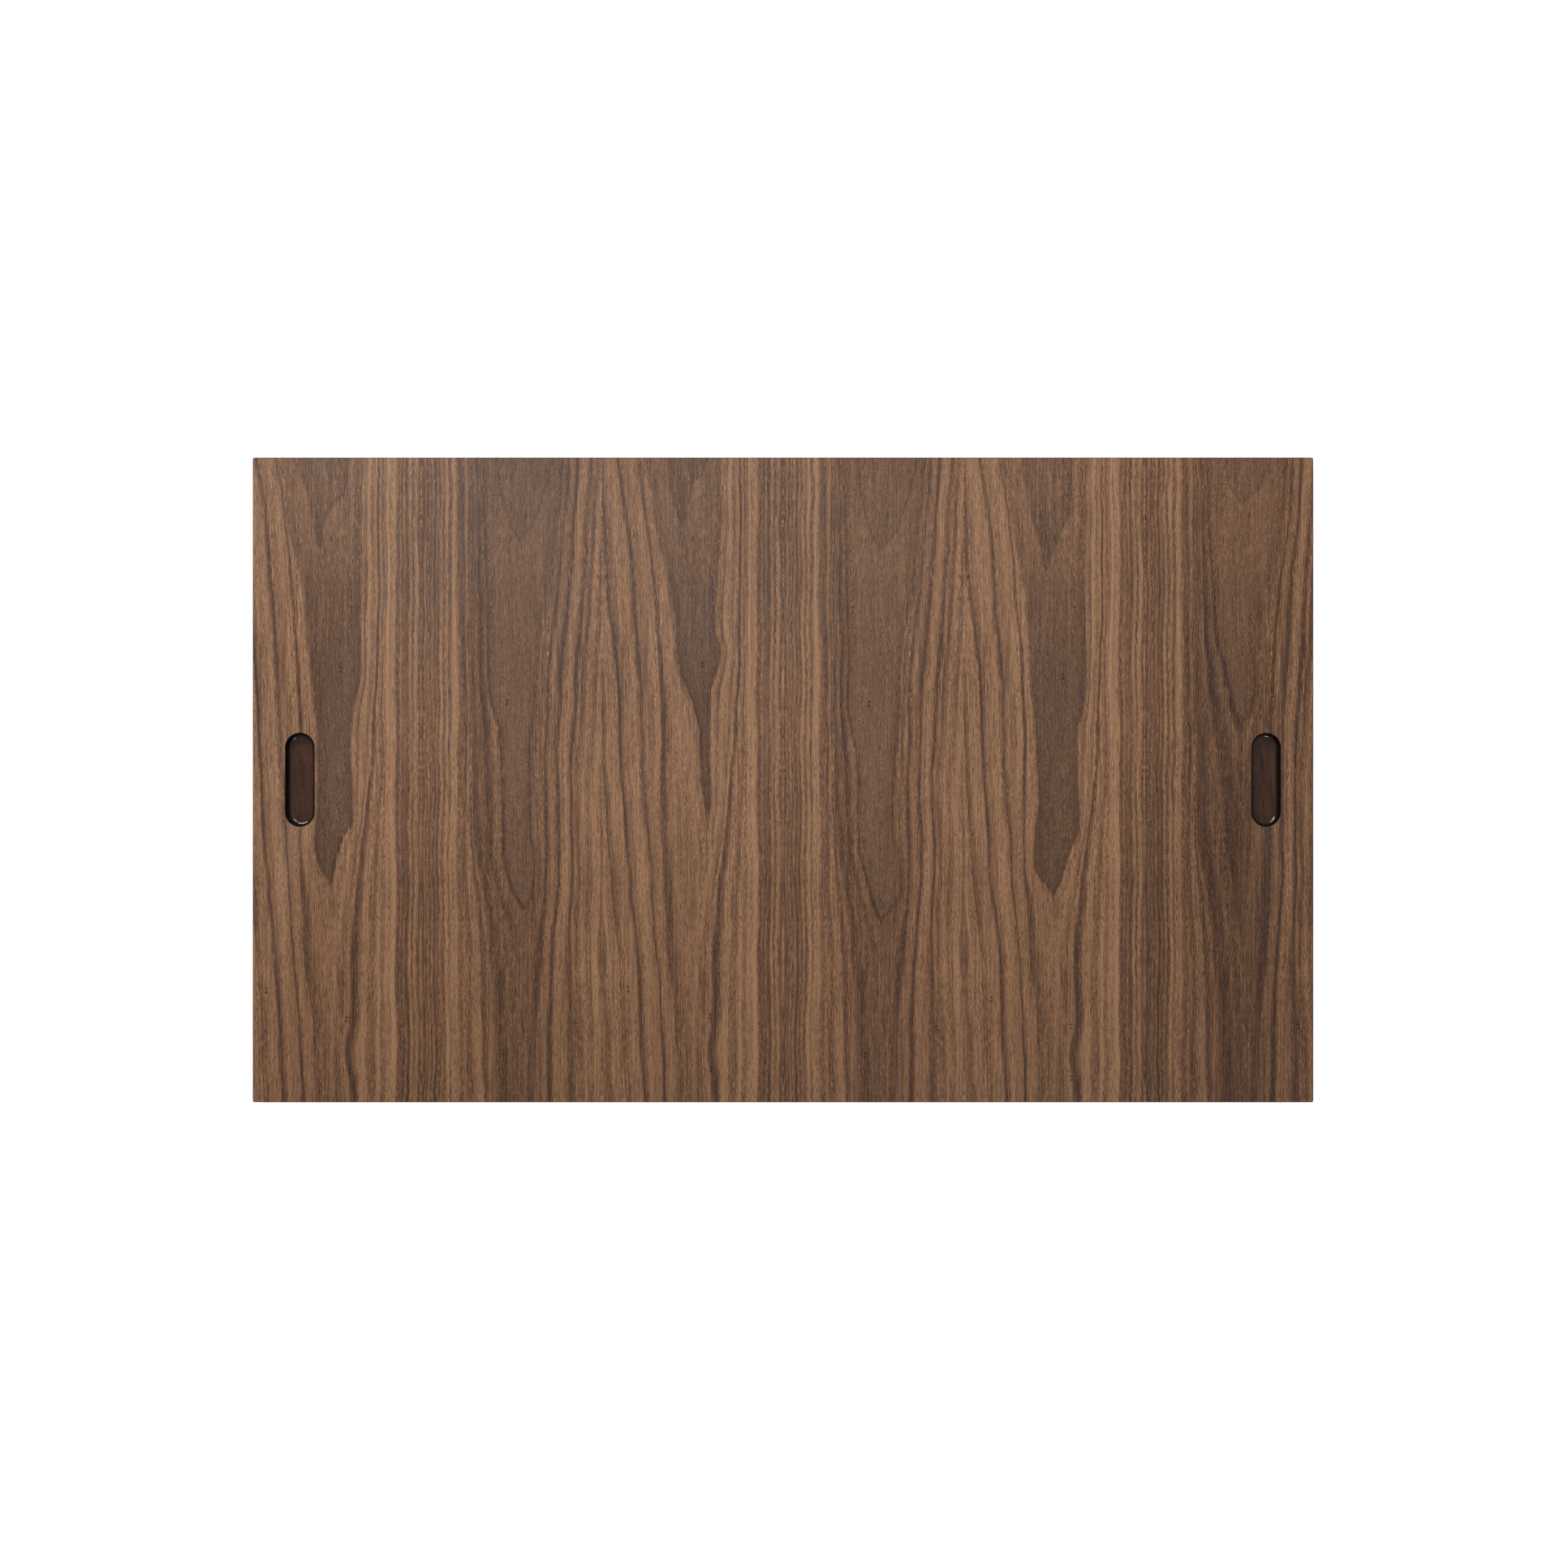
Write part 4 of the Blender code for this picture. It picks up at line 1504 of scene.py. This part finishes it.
    def taper(self, test: Test, by: float, centre: Vector) -> "Workpiece":
        """Scale a face about an upright axis.

        Args:
            test: Picks the face.
            by: The scale.
            centre: A point on the axis.

        Returns:
            The piece.
        """
        self.edit(Pick.FACES, test)
        bpy.ops.transform.resize(value=(by, by, 1.0), center_override=centre)
        return self.leave()

    def cut(self, cutter: "Workpiece") -> "Workpiece":
        """Cut another piece's shape away, and use that piece up.

        Args:
            cutter: The piece to cut with.

        Returns:
            The piece.
        """
        modifier = self.obj.modifiers.new("cut", "BOOLEAN")
        modifier.operation = "DIFFERENCE"
        modifier.solver = "EXACT"
        modifier.object = cutter.obj
        self.focus()
        bpy.ops.object.modifier_apply(modifier=modifier.name)
        bpy.data.objects.remove(cutter.obj)
        return self

    def copy(self, name: str, move: Vector) -> "Workpiece":
        """Another of this piece, with a mesh of its own.

        Args:
            name: The copy's name.
            move: How far it lies from this one.

        Returns:
            The copy.
        """
        self.focus()
        bpy.ops.object.duplicate(linked=False)
        bpy.ops.transform.translate(value=move)
        return Workpiece(name).settle()

    def shade(self, degrees: float = 30.0) -> "Workpiece":
        """Shade round faces smooth, keep edges past some degrees sharp, and pass the piece on."""
        self.focus()
        bpy.ops.object.shade_smooth_by_angle(angle=math.radians(degrees))
        return self

    def dress(self, finish: Finish, edge: Finish | None = None, level: float = 0.97) -> "Workpiece":
        """Give the piece its finish, and its turned-down faces another.

        Args:
            finish: The finish of the whole piece.
            edge: The finish of faces that aren't level.
            level: How upright a normal is on a level face.

        Returns:
            The piece.
        """
        mesh = self.obj.data
        mesh.materials.clear()
        mesh.materials.append(finish.material())
        if edge is not None:
            mesh.materials.append(edge.material())
            for face in mesh.polygons:
                face.material_index = 0 if abs(face.normal.z) > level else 1
        return self

    def hand_over(self, slot: str, *nodes: str) -> None:
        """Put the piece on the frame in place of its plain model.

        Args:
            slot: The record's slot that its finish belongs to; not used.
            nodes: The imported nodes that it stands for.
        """
        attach(self.obj, BODY)
        if nodes:
            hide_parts(*nodes)
        log.info("%s: %d faces", self.obj.name, len(self.obj.data.polygons))


def upright(direction: Vector) -> bool:
    """Whether an edge stands upright."""
    return abs(direction.z) > 0.99


def centre_of(node: str) -> Vector:
    """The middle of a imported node's box."""
    low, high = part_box(node)
    return (low + high) / 2


def level_edge(height: float) -> Test:
    """A test for the edges that lie at one height."""
    return lambda middle, direction: abs(middle.z - height) < TOUCH and not upright(direction)


def facing(direction: float, height: float) -> Test:
    """A test for the level face at one height.

    Args:
        direction: 1 for a face that looks up, -1 for one that looks down.
        height: The face's height.

    Returns:
        The test.
    """

    def test(middle: Vector, normal: Vector) -> bool:
        """Whether this is that face."""
        return normal.z * direction > 0.999 and abs(middle.z - height) < HAIR / 2

    return test


def stadium(name: str, low: Vector, high: Vector, segments: int = 24) -> Workpiece:
    """A block between two corners whose ends are half round, seen from above."""
    piece = Workpiece.block(name, low, high)
    return piece.bevel(lambda middle, direction: upright(direction), (high.x - low.x) / 2, segments).weld()


# ---------------------------------------------------------------------------------------------
# Sub-assemblies
# ---------------------------------------------------------------------------------------------


@dataclass
class CoreBoard:
    """The plywood core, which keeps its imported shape.

    Attributes:
        finish: Bare plywood.
    """

    finish: Finish = Plywood("bare plywood", roughness=0.7)

    def build(self) -> None:
        """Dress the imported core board."""
        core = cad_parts["core_board"]
        core.data.materials.clear()
        core.data.materials.append(self.finish.material())
        log.info("core_board: dressed")


@dataclass
class Lippings:
    """The four solid strips round the core, under the veneers.

    Attributes:
        corner: The radius of the tray's upright corners.
        corner_segments: How many faces such a corner has.
        eased: The tiny bevel of each long edge, which draws the glue line.
        grains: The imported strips, and which way the grain of each runs.
    """

    corner: float = 1.5 * MM
    corner_segments: int = 8
    eased: float = 0.12 * MM
    grains: ClassVar[dict[str, Grain]] = {
        "front_lipping": Grain.ALONG_X,
        "back_lipping": Grain.ALONG_X,
        "left_lipping": Grain.ALONG_Y,
        "right_lipping": Grain.ALONG_Y,
    }

    def strip(self, name: str, grow: Vector) -> Workpiece:
        """One strip, with the tray's upright corners rounded on it.

        Args:
            name: The strip's node.
            grow: How far the strip grows up and down, until only a glue line is left to both veneers.

        Returns:
            The strip.
        """
        low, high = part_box(name)
        piece = Workpiece.block(f"{name}_strip", low - grow, high + grow)
        outer_x, outer_y = CAD_BOX[1].x, CAD_BOX[1].y

        def at_corner(middle: Vector, direction: Vector) -> bool:
            """Whether an edge is one of the tray's own upright corners."""
            away = max(abs(abs(middle.x) - outer_x), abs(abs(middle.y) - outer_y))
            return upright(direction) and away < TOUCH

        piece.bevel(at_corner, self.corner, self.corner_segments)
        return piece.bevel(lambda middle, direction: not upright(direction), self.eased, 2)

    def build(self) -> None:
        """Build and dress the four strips."""
        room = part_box("face_veneer_1")[0].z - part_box("core_board")[1].z - GLUE_LINE
        for name, grain in self.grains.items():
            finish = StainedWood(
                f"stained lipping {grain.name.lower()}", roughness=0.5, specular=0.25, grain=grain
            )
            piece = self.strip(name, Vector((0, 0, room)))
            piece.shade().dress(finish).hand_over("edge_lipping", name)


@dataclass
class Veneers:
    """The leaves glued to the face and to the underside.

    Attributes:
        corner: The radius of the tray's upright corners.
        corner_segments: How many faces such a corner has.
        arris: The radius of its eased edges.
        rim: The width of the eased rim of each grip mouth.
        ease_segments: How many faces an eased edge has.
        screw_clearance: The radius of the hole that a foot screw passes.
        screw_segments: How many sides that hole has.
        backing_shift: How many leaves further along the flitch the backing starts.
    """

    corner: float = 1.5 * MM
    corner_segments: int = 8
    arris: float = 0.6 * MM
    rim: float = 0.65 * MM
    ease_segments: int = 5
    screw_clearance: float = 2.1 * MM
    screw_segments: int = 32
    backing_shift: int = 2

    def __post_init__(self) -> None:
        """Read the tray's outline and the leaves' pitch off the frame."""
        self.tray_low, self.tray_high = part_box("face_veneer_1")[0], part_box("face_veneer_6")[1]
        self.seam_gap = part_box("face_veneer_2")[0].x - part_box("face_veneer_1")[1].x
        low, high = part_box("face_veneer_3")
        self.pitch = high.x - low.x + self.seam_gap

    def blank(self, name: str, node: str, layer: Layer) -> tuple[Workpiece, Vector, Vector]:
        """A leaf, cut to size, with its corners rounded and its arris eased where it meets the tray's edge.

        Args:
            name: The piece's name.
            node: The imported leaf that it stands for.
            layer: The side of the board.

        Returns:
            The piece and its lowest and highest corners.
        """
        low, high = (corner.copy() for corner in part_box(node))
        edge_low, edge_high = self.tray_low.x, self.tray_high.x
        closing = self.seam_gap / 2 - HAIR
        low.x -= closing if low.x > edge_low + TOUCH else 0.0
        high.x += closing if high.x < edge_high - TOUCH else 0.0
        outer = high.z if layer is Layer.FACE else low.z
        piece = Workpiece.block(name, low, high)
        piece.bevel(
            lambda middle, direction: upright(direction)
            and min(middle.x - edge_low, edge_high - middle.x) < TOUCH,
            self.corner,
            self.corner_segments,
        )

        def on_outline(middle: Vector, direction: Vector) -> bool:
            """Whether an edge is part of the tray's own outline, and not of a seam."""
            at_seam = (abs(middle.x - low.x) < TOUCH and low.x > edge_low + TOUCH) or (
                abs(middle.x - high.x) < TOUCH and high.x < edge_high - TOUCH
            )
            return level_edge(outer)(middle, direction) and not at_seam

        piece.bevel(on_outline, self.arris, self.ease_segments)
        return piece, low, high

    def open_mouth(self, piece: Workpiece, insert: str) -> None:
        """Cut the grip's mouth through a face leaf and ease its rim.

        Args:
            piece: The leaf.
            insert: The grip insert's node.
        """
        low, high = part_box(insert)
        wall = GripInserts.wall
        inner_low = Vector((low.x + wall, low.y + wall, high.z - OVERCUT))
        inner_high = Vector((high.x - wall, high.y - wall, self.tray_high.z + OVERCUT))
        piece.cut(stadium("mouth_cutter", inner_low, inner_high))

        def on_mouth(middle: Vector, direction: Vector) -> bool:
            """Whether an edge runs round the mouth at the top."""
            inside_x = inner_low.x - TOUCH < middle.x < inner_high.x + TOUCH
            inside_y = inner_low.y - TOUCH < middle.y < inner_high.y + TOUCH
            return level_edge(self.tray_high.z)(middle, direction) and inside_x and inside_y

        piece.bevel(on_mouth, self.rim, self.ease_segments)

    def open_clearance(self, piece: Workpiece, low: Vector, high: Vector) -> None:
        """Drill a back leaf where foot screws pass it.

        Args:
            piece: The leaf.
            low: Its lowest corner.
            high: Its highest corner.
        """
        for corner in Feet.corners:
            middle = centre_of(f"{corner}_foot_pad")
            if low.x < middle.x < high.x:
                bottom = Vector((middle.x, middle.y, low.z - OVERCUT))
                top = high.z + OVERCUT
                piece.cut(Workpiece.rod("drill", self.screw_clearance, bottom, top, self.screw_segments))

    def seam_of(self, index: int) -> tuple[float, int]:
        """Where a leaf's quarter-sawn seam is, and which way the leaf runs from it.

        Args:
            index: The leaf's place from the left, from 0.

        Returns:
            The seam's place along X, and 1 or -1.
        """
        side = -1 if index % 2 == 0 else 1
        seam = index - len(LEAVES) // 2 + (1 if side < 0 else 0)
        return seam * self.pitch, side

    def face_leaf(self, index: int, edge: Finish) -> None:
        """Build and dress one leaf of the face.

        Args:
            index: The leaf's place from the left, from 0.
            edge: The finish of its eased edges.
        """
        leaf = LEAVES[index]
        node = f"face_veneer_{leaf.number}"
        piece, low, high = self.blank(f"face_leaf_{leaf.number}", node, Layer.FACE)
        for insert in GripInserts.nodes:
            if low.x < centre_of(insert).x < high.x:
                self.open_mouth(piece, insert)
        seam, side = self.seam_of(index)
        walnut = WalnutLeaf(
            f"walnut leaf {leaf.number}",
            roughness=0.46,
            specular=0.27,
            leaf=leaf,
            seam=seam,
            side=side,
            along_start=self.tray_high.y / MM,
        )
        piece.shade().dress(walnut, edge).hand_over("walnut_veneer", node)

    def back_leaf(self, index: int, edge: Finish) -> None:
        """Build and dress one leaf of the underside.

        Args:
            index: The leaf's place from the left, from 0.
            edge: The finish of its eased edges.
        """
        number = index + 1
        node = f"back_veneer_{number}"
        piece, low, high = self.blank(f"back_leaf_{number}", node, Layer.BACK)
        self.open_clearance(piece, low, high)
        seam, side = self.seam_of(index)
        walnut = WalnutLeaf(
            f"backing leaf {number}",
            roughness=0.6,
            specular=0.25,
            leaf=LEAVES[(index + self.backing_shift) % len(LEAVES)],
            seam=seam,
            side=side,
            along_start=self.tray_low.y / MM,
            along_side=1,
            shade=0.82,
        )
        piece.shade().dress(walnut, edge).hand_over("backing_veneer", node)

    def build(self) -> None:
        """Build and dress the face leaves, then the back leaves."""
        edge = StainedWood("stained edge", roughness=0.4, dark=(22, 14, 11), light=(46, 31, 24))
        back_edge = StainedWood("stained back edge", roughness=0.5, specular=0.3)
        for index in range(len(LEAVES)):
            self.face_leaf(index, edge)
        for index in range(len(LEAVES)):
            self.back_leaf(index, back_edge)


@dataclass
class GripInserts:
    """The two dark hardwood cups that line the finger grips.

    Attributes:
        fillet: The radius between a cup's floor and its wall.
        fillet_segments: How many faces the fillet has.
        floor_depth: How far the cup's floor lies below the tray's face.
        wall: How thick the cup's wall is.
        nodes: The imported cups.
    """

    fillet: float = 3.0 * MM
    fillet_segments: int = 12
    floor_depth: float = 10.0 * MM
    wall: ClassVar[float] = 3.0 * MM
    nodes: ClassVar[tuple[str, str]] = ("left_grip_insert", "right_grip_insert")

    def build(self) -> None:
        """Build one cup, copy it across the tray, and dress both."""
        # The cup's walls and fillets come out far darker than its floor: partly end-grain stain, partly
        # painted shade inside the recess.
        finish = StainedWood(
            "gloss-lacquered grip hardwood",
            roughness=0.1,
            specular=0.5,
            grain=Grain.ALONG_Y,
            dark=(22, 12, 8),
            light=(94, 58, 40),
            wall_stain_and_shade=0.9,
            turn=0.955,
            depth=0.008,
            rubbed=(104, 70, 54),
        )
        low, high = (corner.copy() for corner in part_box(self.nodes[0]))
        leaf_low, leaf_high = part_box("face_veneer_1")
        high.z = leaf_low.z - GLUE_LINE
        floor = leaf_high.z - self.floor_depth
        cup = stadium("left_grip_cup", low, high)
        cup.sink(facing(1, high.z), self.wall, floor - high.z)
        middle = centre_of(self.nodes[0])
        half_mouth = (high.x - low.x) / 2 - self.wall

        def round_the_floor(place: Vector, direction: Vector) -> bool:
            """Whether an edge runs round the cup's floor."""
            return level_edge(floor)(place, direction) and abs(place.x - middle.x) < half_mouth + TOUCH

        cup.bevel(round_the_floor, self.fillet, self.fillet_segments)
        across = centre_of(self.nodes[1]).x - middle.x
        second = cup.copy("right_grip_cup", Vector((across, 0, 0)))
        for piece, node in zip((cup, second), self.nodes):
            piece.shade(40).dress(finish).hand_over("grip_hardwood", node)


@dataclass
class Feet:
    """The four rubber feet, each with its washer and screw.

    Attributes:
        floor_radius: The pad's radius where it meets the table.
        edge: The radius of the pad's lower edge.
        bore_radius: The radius of the bore that hides the screw head.
        hole_radius: The radius of the hole for the screw.
        hole_segments: How many sides that hole has.
        web: How much rubber the washer clamps.
        groove: The width and depth of the ring groove that grips the table.
        washer_edge: The bevel of the washer's rims.
        head_radius: The screw head's radius.
        head_height: The screw head's height.
        head_round: How much of the head's height is rounded.
        drive_half: Half the length, half the width and the depth of the cross drive's slots.
        drive_taper: How much narrower a slot is at its bottom.
        smooth_shank: The length of the shank without a thread.
        root_radius: The screw's radius between its threads.
        thread_radius: The screw's radius over its threads.
        pitch: The distance between two threads.
        point: The length of the screw's point.
        tip: How much of the last thread's radius the tip keeps.
        corners: The tray's corners, the first of which is built and then copied.
    """

    floor_radius: float = 7.8 * MM
    edge: float = 0.6 * MM
    bore_radius: float = 4.8 * MM
    hole_radius: float = 2.1 * MM
    hole_segments: int = 48
    web: float = 1.3 * MM
    groove: float = 0.5 * MM
    washer_edge: float = 0.1 * MM
    head_radius: float = 3.6 * MM
    head_height: float = 1.4 * MM
    head_round: float = 0.72
    drive_half: tuple[float, float, float] = (1.9 * MM, 0.35 * MM, 0.8 * MM)
    drive_taper: float = 0.6
    smooth_shank: float = 1.2 * MM
    root_radius: float = 1.25 * MM
    thread_radius: float = 1.8 * MM
    pitch: float = 1.3 * MM
    point: float = 3.0 * MM
    tip: float = 0.2
    corners: ClassVar[tuple[str, ...]] = ("front_left", "front_right", "back_left", "back_right")

    def disc(self, kind: str) -> tuple[Workpiece, Vector, Vector]:
        """A disc that fills a packed foot piece of the first corner.

        Args:
            kind: Pad or washer.

        Returns:
            The disc, and the lowest and highest corner of its box.
        """
        low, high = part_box(f"{self.corners[0]}_foot_{kind}")
        centre = (low + high) / 2
        bottom = Vector((centre.x, centre.y, low.z))
        return Workpiece.rod(f"{self.corners[0]}_{kind}", (high.x - low.x) / 2, bottom, high.z), low, high

    def drill(self, piece: Workpiece, bottom: float, top: float) -> None:
        """Drill the screw's hole through a piece of the first foot, between two heights."""
        centre = centre_of(f"{self.corners[0]}_foot_pad")
        start = Vector((centre.x, centre.y, bottom))
        piece.cut(Workpiece.rod("hole_cutter", self.hole_radius, start, top, self.hole_segments))

    def pad(self) -> Workpiece:
        """A turned rubber pad with a bore from below and a ring groove in its floor face.

        Returns:
            The first corner's pad.
        """
        piece, low, high = self.disc("pad")
        centre = (low + high) / 2
        piece.taper(facing(-1, low.z), self.floor_radius / ((high.x - low.x) / 2), centre)
        piece.bevel(level_edge(low.z), self.edge, 5)
        piece.bevel(level_edge(high.z), self.edge / 3, 2)
        floor_face = facing(-1, low.z)
        flat_radius = self.floor_radius - self.edge
        ring = (flat_radius - self.bore_radius - self.groove) / 2
        self.ring_groove(piece, floor_face, centre, ring)
        inner = flat_radius - 2 * ring - self.groove

        def at_centre(middle: Vector, normal: Vector) -> bool:
            """Whether a face is the round one inside the groove."""
            return floor_face(middle, normal) and self.off_axis(middle, centre) < TOUCH

        piece.edit(Pick.FACES, at_centre)
        bpy.ops.mesh.inset(thickness=ring + (inner - self.bore_radius))
        bore_depth = high.z - low.z - self.web
        bpy.ops.mesh.extrude_region_move(TRANSFORM_OT_translate={"value": (0.0, 0.0, bore_depth)})
        piece.leave()
        self.drill(piece, low.z + MM, high.z + MM)
        return piece

    @staticmethod
    def off_axis(middle: Vector, centre: Vector) -> float:
        """How far a place is from the upright axis through centre."""
        return math.hypot(middle.x - centre.x, middle.y - centre.y)

    def ring_groove(self, piece: Workpiece, floor_face: Test, centre: Vector, ring: float) -> None:
        """Sink a ring groove into the pad's floor face.

        Args:
            piece: The pad.
            floor_face: Picks its floor face.
            centre: A point on the pad's axis.
            ring: The width of rubber on each side of the groove.
        """
        piece.edit(Pick.FACES, floor_face)
        bpy.ops.mesh.inset(thickness=ring)
        bpy.ops.mesh.inset(thickness=self.groove)
        piece.leave()
        outer = self.floor_radius - self.edge - ring

        def in_ring(middle: Vector, normal: Vector) -> bool:
            """Whether a face is part of the ring between the two insets."""
            return floor_face(middle, normal) and outer - self.groove < self.off_axis(middle, centre) < outer

        piece.edit(Pick.FACES, in_ring)
        bpy.ops.mesh.extrude_region_move(TRANSFORM_OT_translate={"value": (0.0, 0.0, self.groove)})
        piece.leave()

    def washer(self) -> Workpiece:
        """A plain washer with eased rims.

        Returns:
            The first corner's washer.
        """
        piece, low, high = self.disc("washer")
        self.drill(piece, low.z - MM, high.z + MM)
        return piece.bevel(lambda middle, direction: not upright(direction), self.washer_edge, 2)

    def screw(self) -> Workpiece:
        """A pan head wood screw with a cross drive and a threaded shank.

        Returns:
            The first corner's screw.
        """
        low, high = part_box(f"{self.corners[0]}_foot_screw")
        centre = (low + high) / 2
        head_top = low.z + self.head_height
        start = Vector((centre.x, centre.y, low.z))
        piece = Workpiece.rod(f"{self.corners[0]}_screw", self.head_radius, start, head_top)
        piece.bevel(level_edge(low.z), self.head_height * self.head_round, 8)
        self.shank(piece, centre, head_top, high.z)
        length, width, depth = self.drive_half
        for half_x, half_y in ((length, width), (width, length)):
            reach = Vector((half_x, half_y, depth))
            slot = Workpiece.block("drive_cutter", start - reach, start + reach)
            slot.taper(facing(1, start.z + depth), self.drive_taper, start)
            piece.cut(slot)
        return piece

    def shank(self, piece: Workpiece, centre: Vector, bottom: float, top: float) -> None:
        """Draw the threaded shank out of the head, one half thread at a time, down to a point.

        Args:
            piece: The screw's head.
            centre: The screw's axis.
            bottom: Where the shank leaves the head.
            top: The tip's height.
        """
        piece.edit(Pick.FACES, facing(1, bottom))
        bpy.ops.mesh.inset(thickness=self.head_radius - self.thread_radius)
        bpy.ops.mesh.extrude_region_move(TRANSFORM_OT_translate={"value": (0.0, 0.0, self.smooth_shank)})
        reached = bottom + self.smooth_shank
        radius = self.thread_radius
        half = self.pitch / 2
        crest = False
        while reached + half < top:
            wanted = self.thread_radius if crest else self.root_radius
            wanted *= min(1.0, (top - reached - half) / self.point)
            bpy.ops.mesh.extrude_region_move(TRANSFORM_OT_translate={"value": (0.0, 0.0, half)})
            by = wanted / radius
            bpy.ops.transform.resize(value=(by, by, 1.0), center_override=centre)
            reached += half
            radius = wanted
            crest = not crest
        bpy.ops.mesh.extrude_region_move(TRANSFORM_OT_translate={"value": (0.0, 0.0, top - reached)})
        bpy.ops.transform.resize(value=(self.tip, self.tip, 1.0), center_override=centre)
        piece.leave()

    def build(self) -> None:
        """Build one foot, copy it to the other corners, and dress all four."""
        rubber = Rubber("moulded black rubber", roughness=0.72, specular=0.3)
        first = {"pad": self.pad(), "washer": self.washer(), "screw": self.screw()}
        home = centre_of(f"{self.corners[0]}_foot_pad")
        for corner in self.corners:
            middle = centre_of(f"{corner}_foot_pad")
            steel = PlatedSteel(f"zinc-plated steel {corner}", roughness=0.32, centre=(middle.x, middle.y))
            for kind, original in first.items():
                finish, slot = (rubber, "rubber") if kind == "pad" else (steel, "steel")
                piece = original
                if corner != self.corners[0]:
                    piece = original.copy(f"{corner}_{kind}", middle - home)
                piece.shade().dress(finish).hand_over(slot, f"{corner}_foot_{kind}")


@dataclass(frozen=True)
class Softbox:
    """One soft light, aimed at the middle of the tray.

    Attributes:
        name: Its name.
        place: Where it hangs, in metres.
        size: Its width and height, in metres.
        watts: Its power.
    """

    name: str
    place: tuple[float, float, float]
    size: tuple[float, float]
    watts: float

    def hang(self) -> None:
        """Add the light to the scene."""
        place = Vector(self.place)
        bpy.ops.object.light_add(type="AREA", location=place)
        lamp = bpy.context.active_object
        lamp.name = self.name
        lamp.data.shape = "RECTANGLE"
        lamp.data.size, lamp.data.size_y = self.size
        lamp.data.energy = self.watts
        lamp.rotation_euler = (-place).to_track_quat("-Z", "Y").to_euler()


@dataclass
class Studio:
    """The pale floor, the soft lights and the camera straight above the tray.

    Attributes:
        height: How far the camera is above the tray's face.
        view_width: How much of the face's level the picture takes in.
        aim: Where the camera looks straight down, in metres.
        sensor: The width of the camera's sensor, in millimetres.
        floor_size: How wide the floor is.
        surround: How bright the light from all round is.
        backdrop: How bright the wall behind the floor looks.
        softboxes: The soft lights.
    """

    height: float = 2.3
    view_width: float = 1.0936
    aim: tuple[float, float] = (0.0007, -0.0029)
    sensor: float = 36.0
    floor_size: float = 60.0
    surround: float = 0.3
    backdrop: float = 0.93
    softboxes: tuple[Softbox, ...] = (
        Softbox("key_softbox", (-0.75, 1.3, 1.85), (1.2, 0.7), 33.5),
        Softbox("top_softbox", (-0.2, 0.55, 2.2), (0.35, 0.35), 7.0),
        Softbox("front_softbox", (0.35, -1.2, 1.5), (0.3, 0.3), 5.0),
    )

    def build(self) -> None:
        """Set up the floor, the lights and the camera."""
        self.floor()
        self.lights()
        self.camera()
        bpy.context.scene.view_settings.view_transform = "Standard"
        log.info("studio: ready")

    def floor(self) -> None:
        """Lay the floor that the feet stand on."""
        Workpiece.clear()
        bpy.ops.mesh.primitive_grid_add(x_subdivisions=4, y_subdivisions=4, size=self.floor_size)
        sheet = Workpiece("studio_floor").settle()
        sheet.dress(StudioFloor("pale floor paint", roughness=0.9, specular=0.0))

    def lights(self) -> None:
        """Light the tray from all round, and more from a softbox over its back left."""
        world = bpy.data.worlds.new("studio surround")
        bpy.context.scene.world = world
        world.use_nodes = True
        background = world.node_tree.nodes["Background"]
        background.inputs["Color"].default_value = WHITE
        recipe = Recipe(world.node_tree)
        seen = recipe.node("ShaderNodeLightPath").outputs["Is Camera Ray"]
        recipe.feed(background.inputs["Strength"], recipe.mix(seen, self.surround, self.backdrop))
        for softbox in self.softboxes:
            softbox.hang()

    def camera(self) -> None:
        """Hang the camera over the tray, looking straight down with the back edge at the top."""
        face = CAD_BOX[1].z
        bpy.ops.object.camera_add(
            location=(self.aim[0], self.aim[1], face + self.height), rotation=(0.0, 0.0, 0.0)
        )
        made = bpy.context.active_object
        made.name = "top_camera"
        made.data.sensor_width = self.sensor
        made.data.lens = self.sensor * self.height / self.view_width
        made.data.clip_end = 100.0
        bpy.context.scene.camera = made


def main() -> None:
    """Build the tray from the inside out, then the studio."""
    logging.basicConfig(level=logging.INFO, format="%(name)s: %(message)s")
    for part in (CoreBoard(), Lippings(), GripInserts(), Veneers(), Feet(), Studio()):
        log.info("building %s", type(part).__name__)
        part.build()


if __name__ == "__main__":
    main()
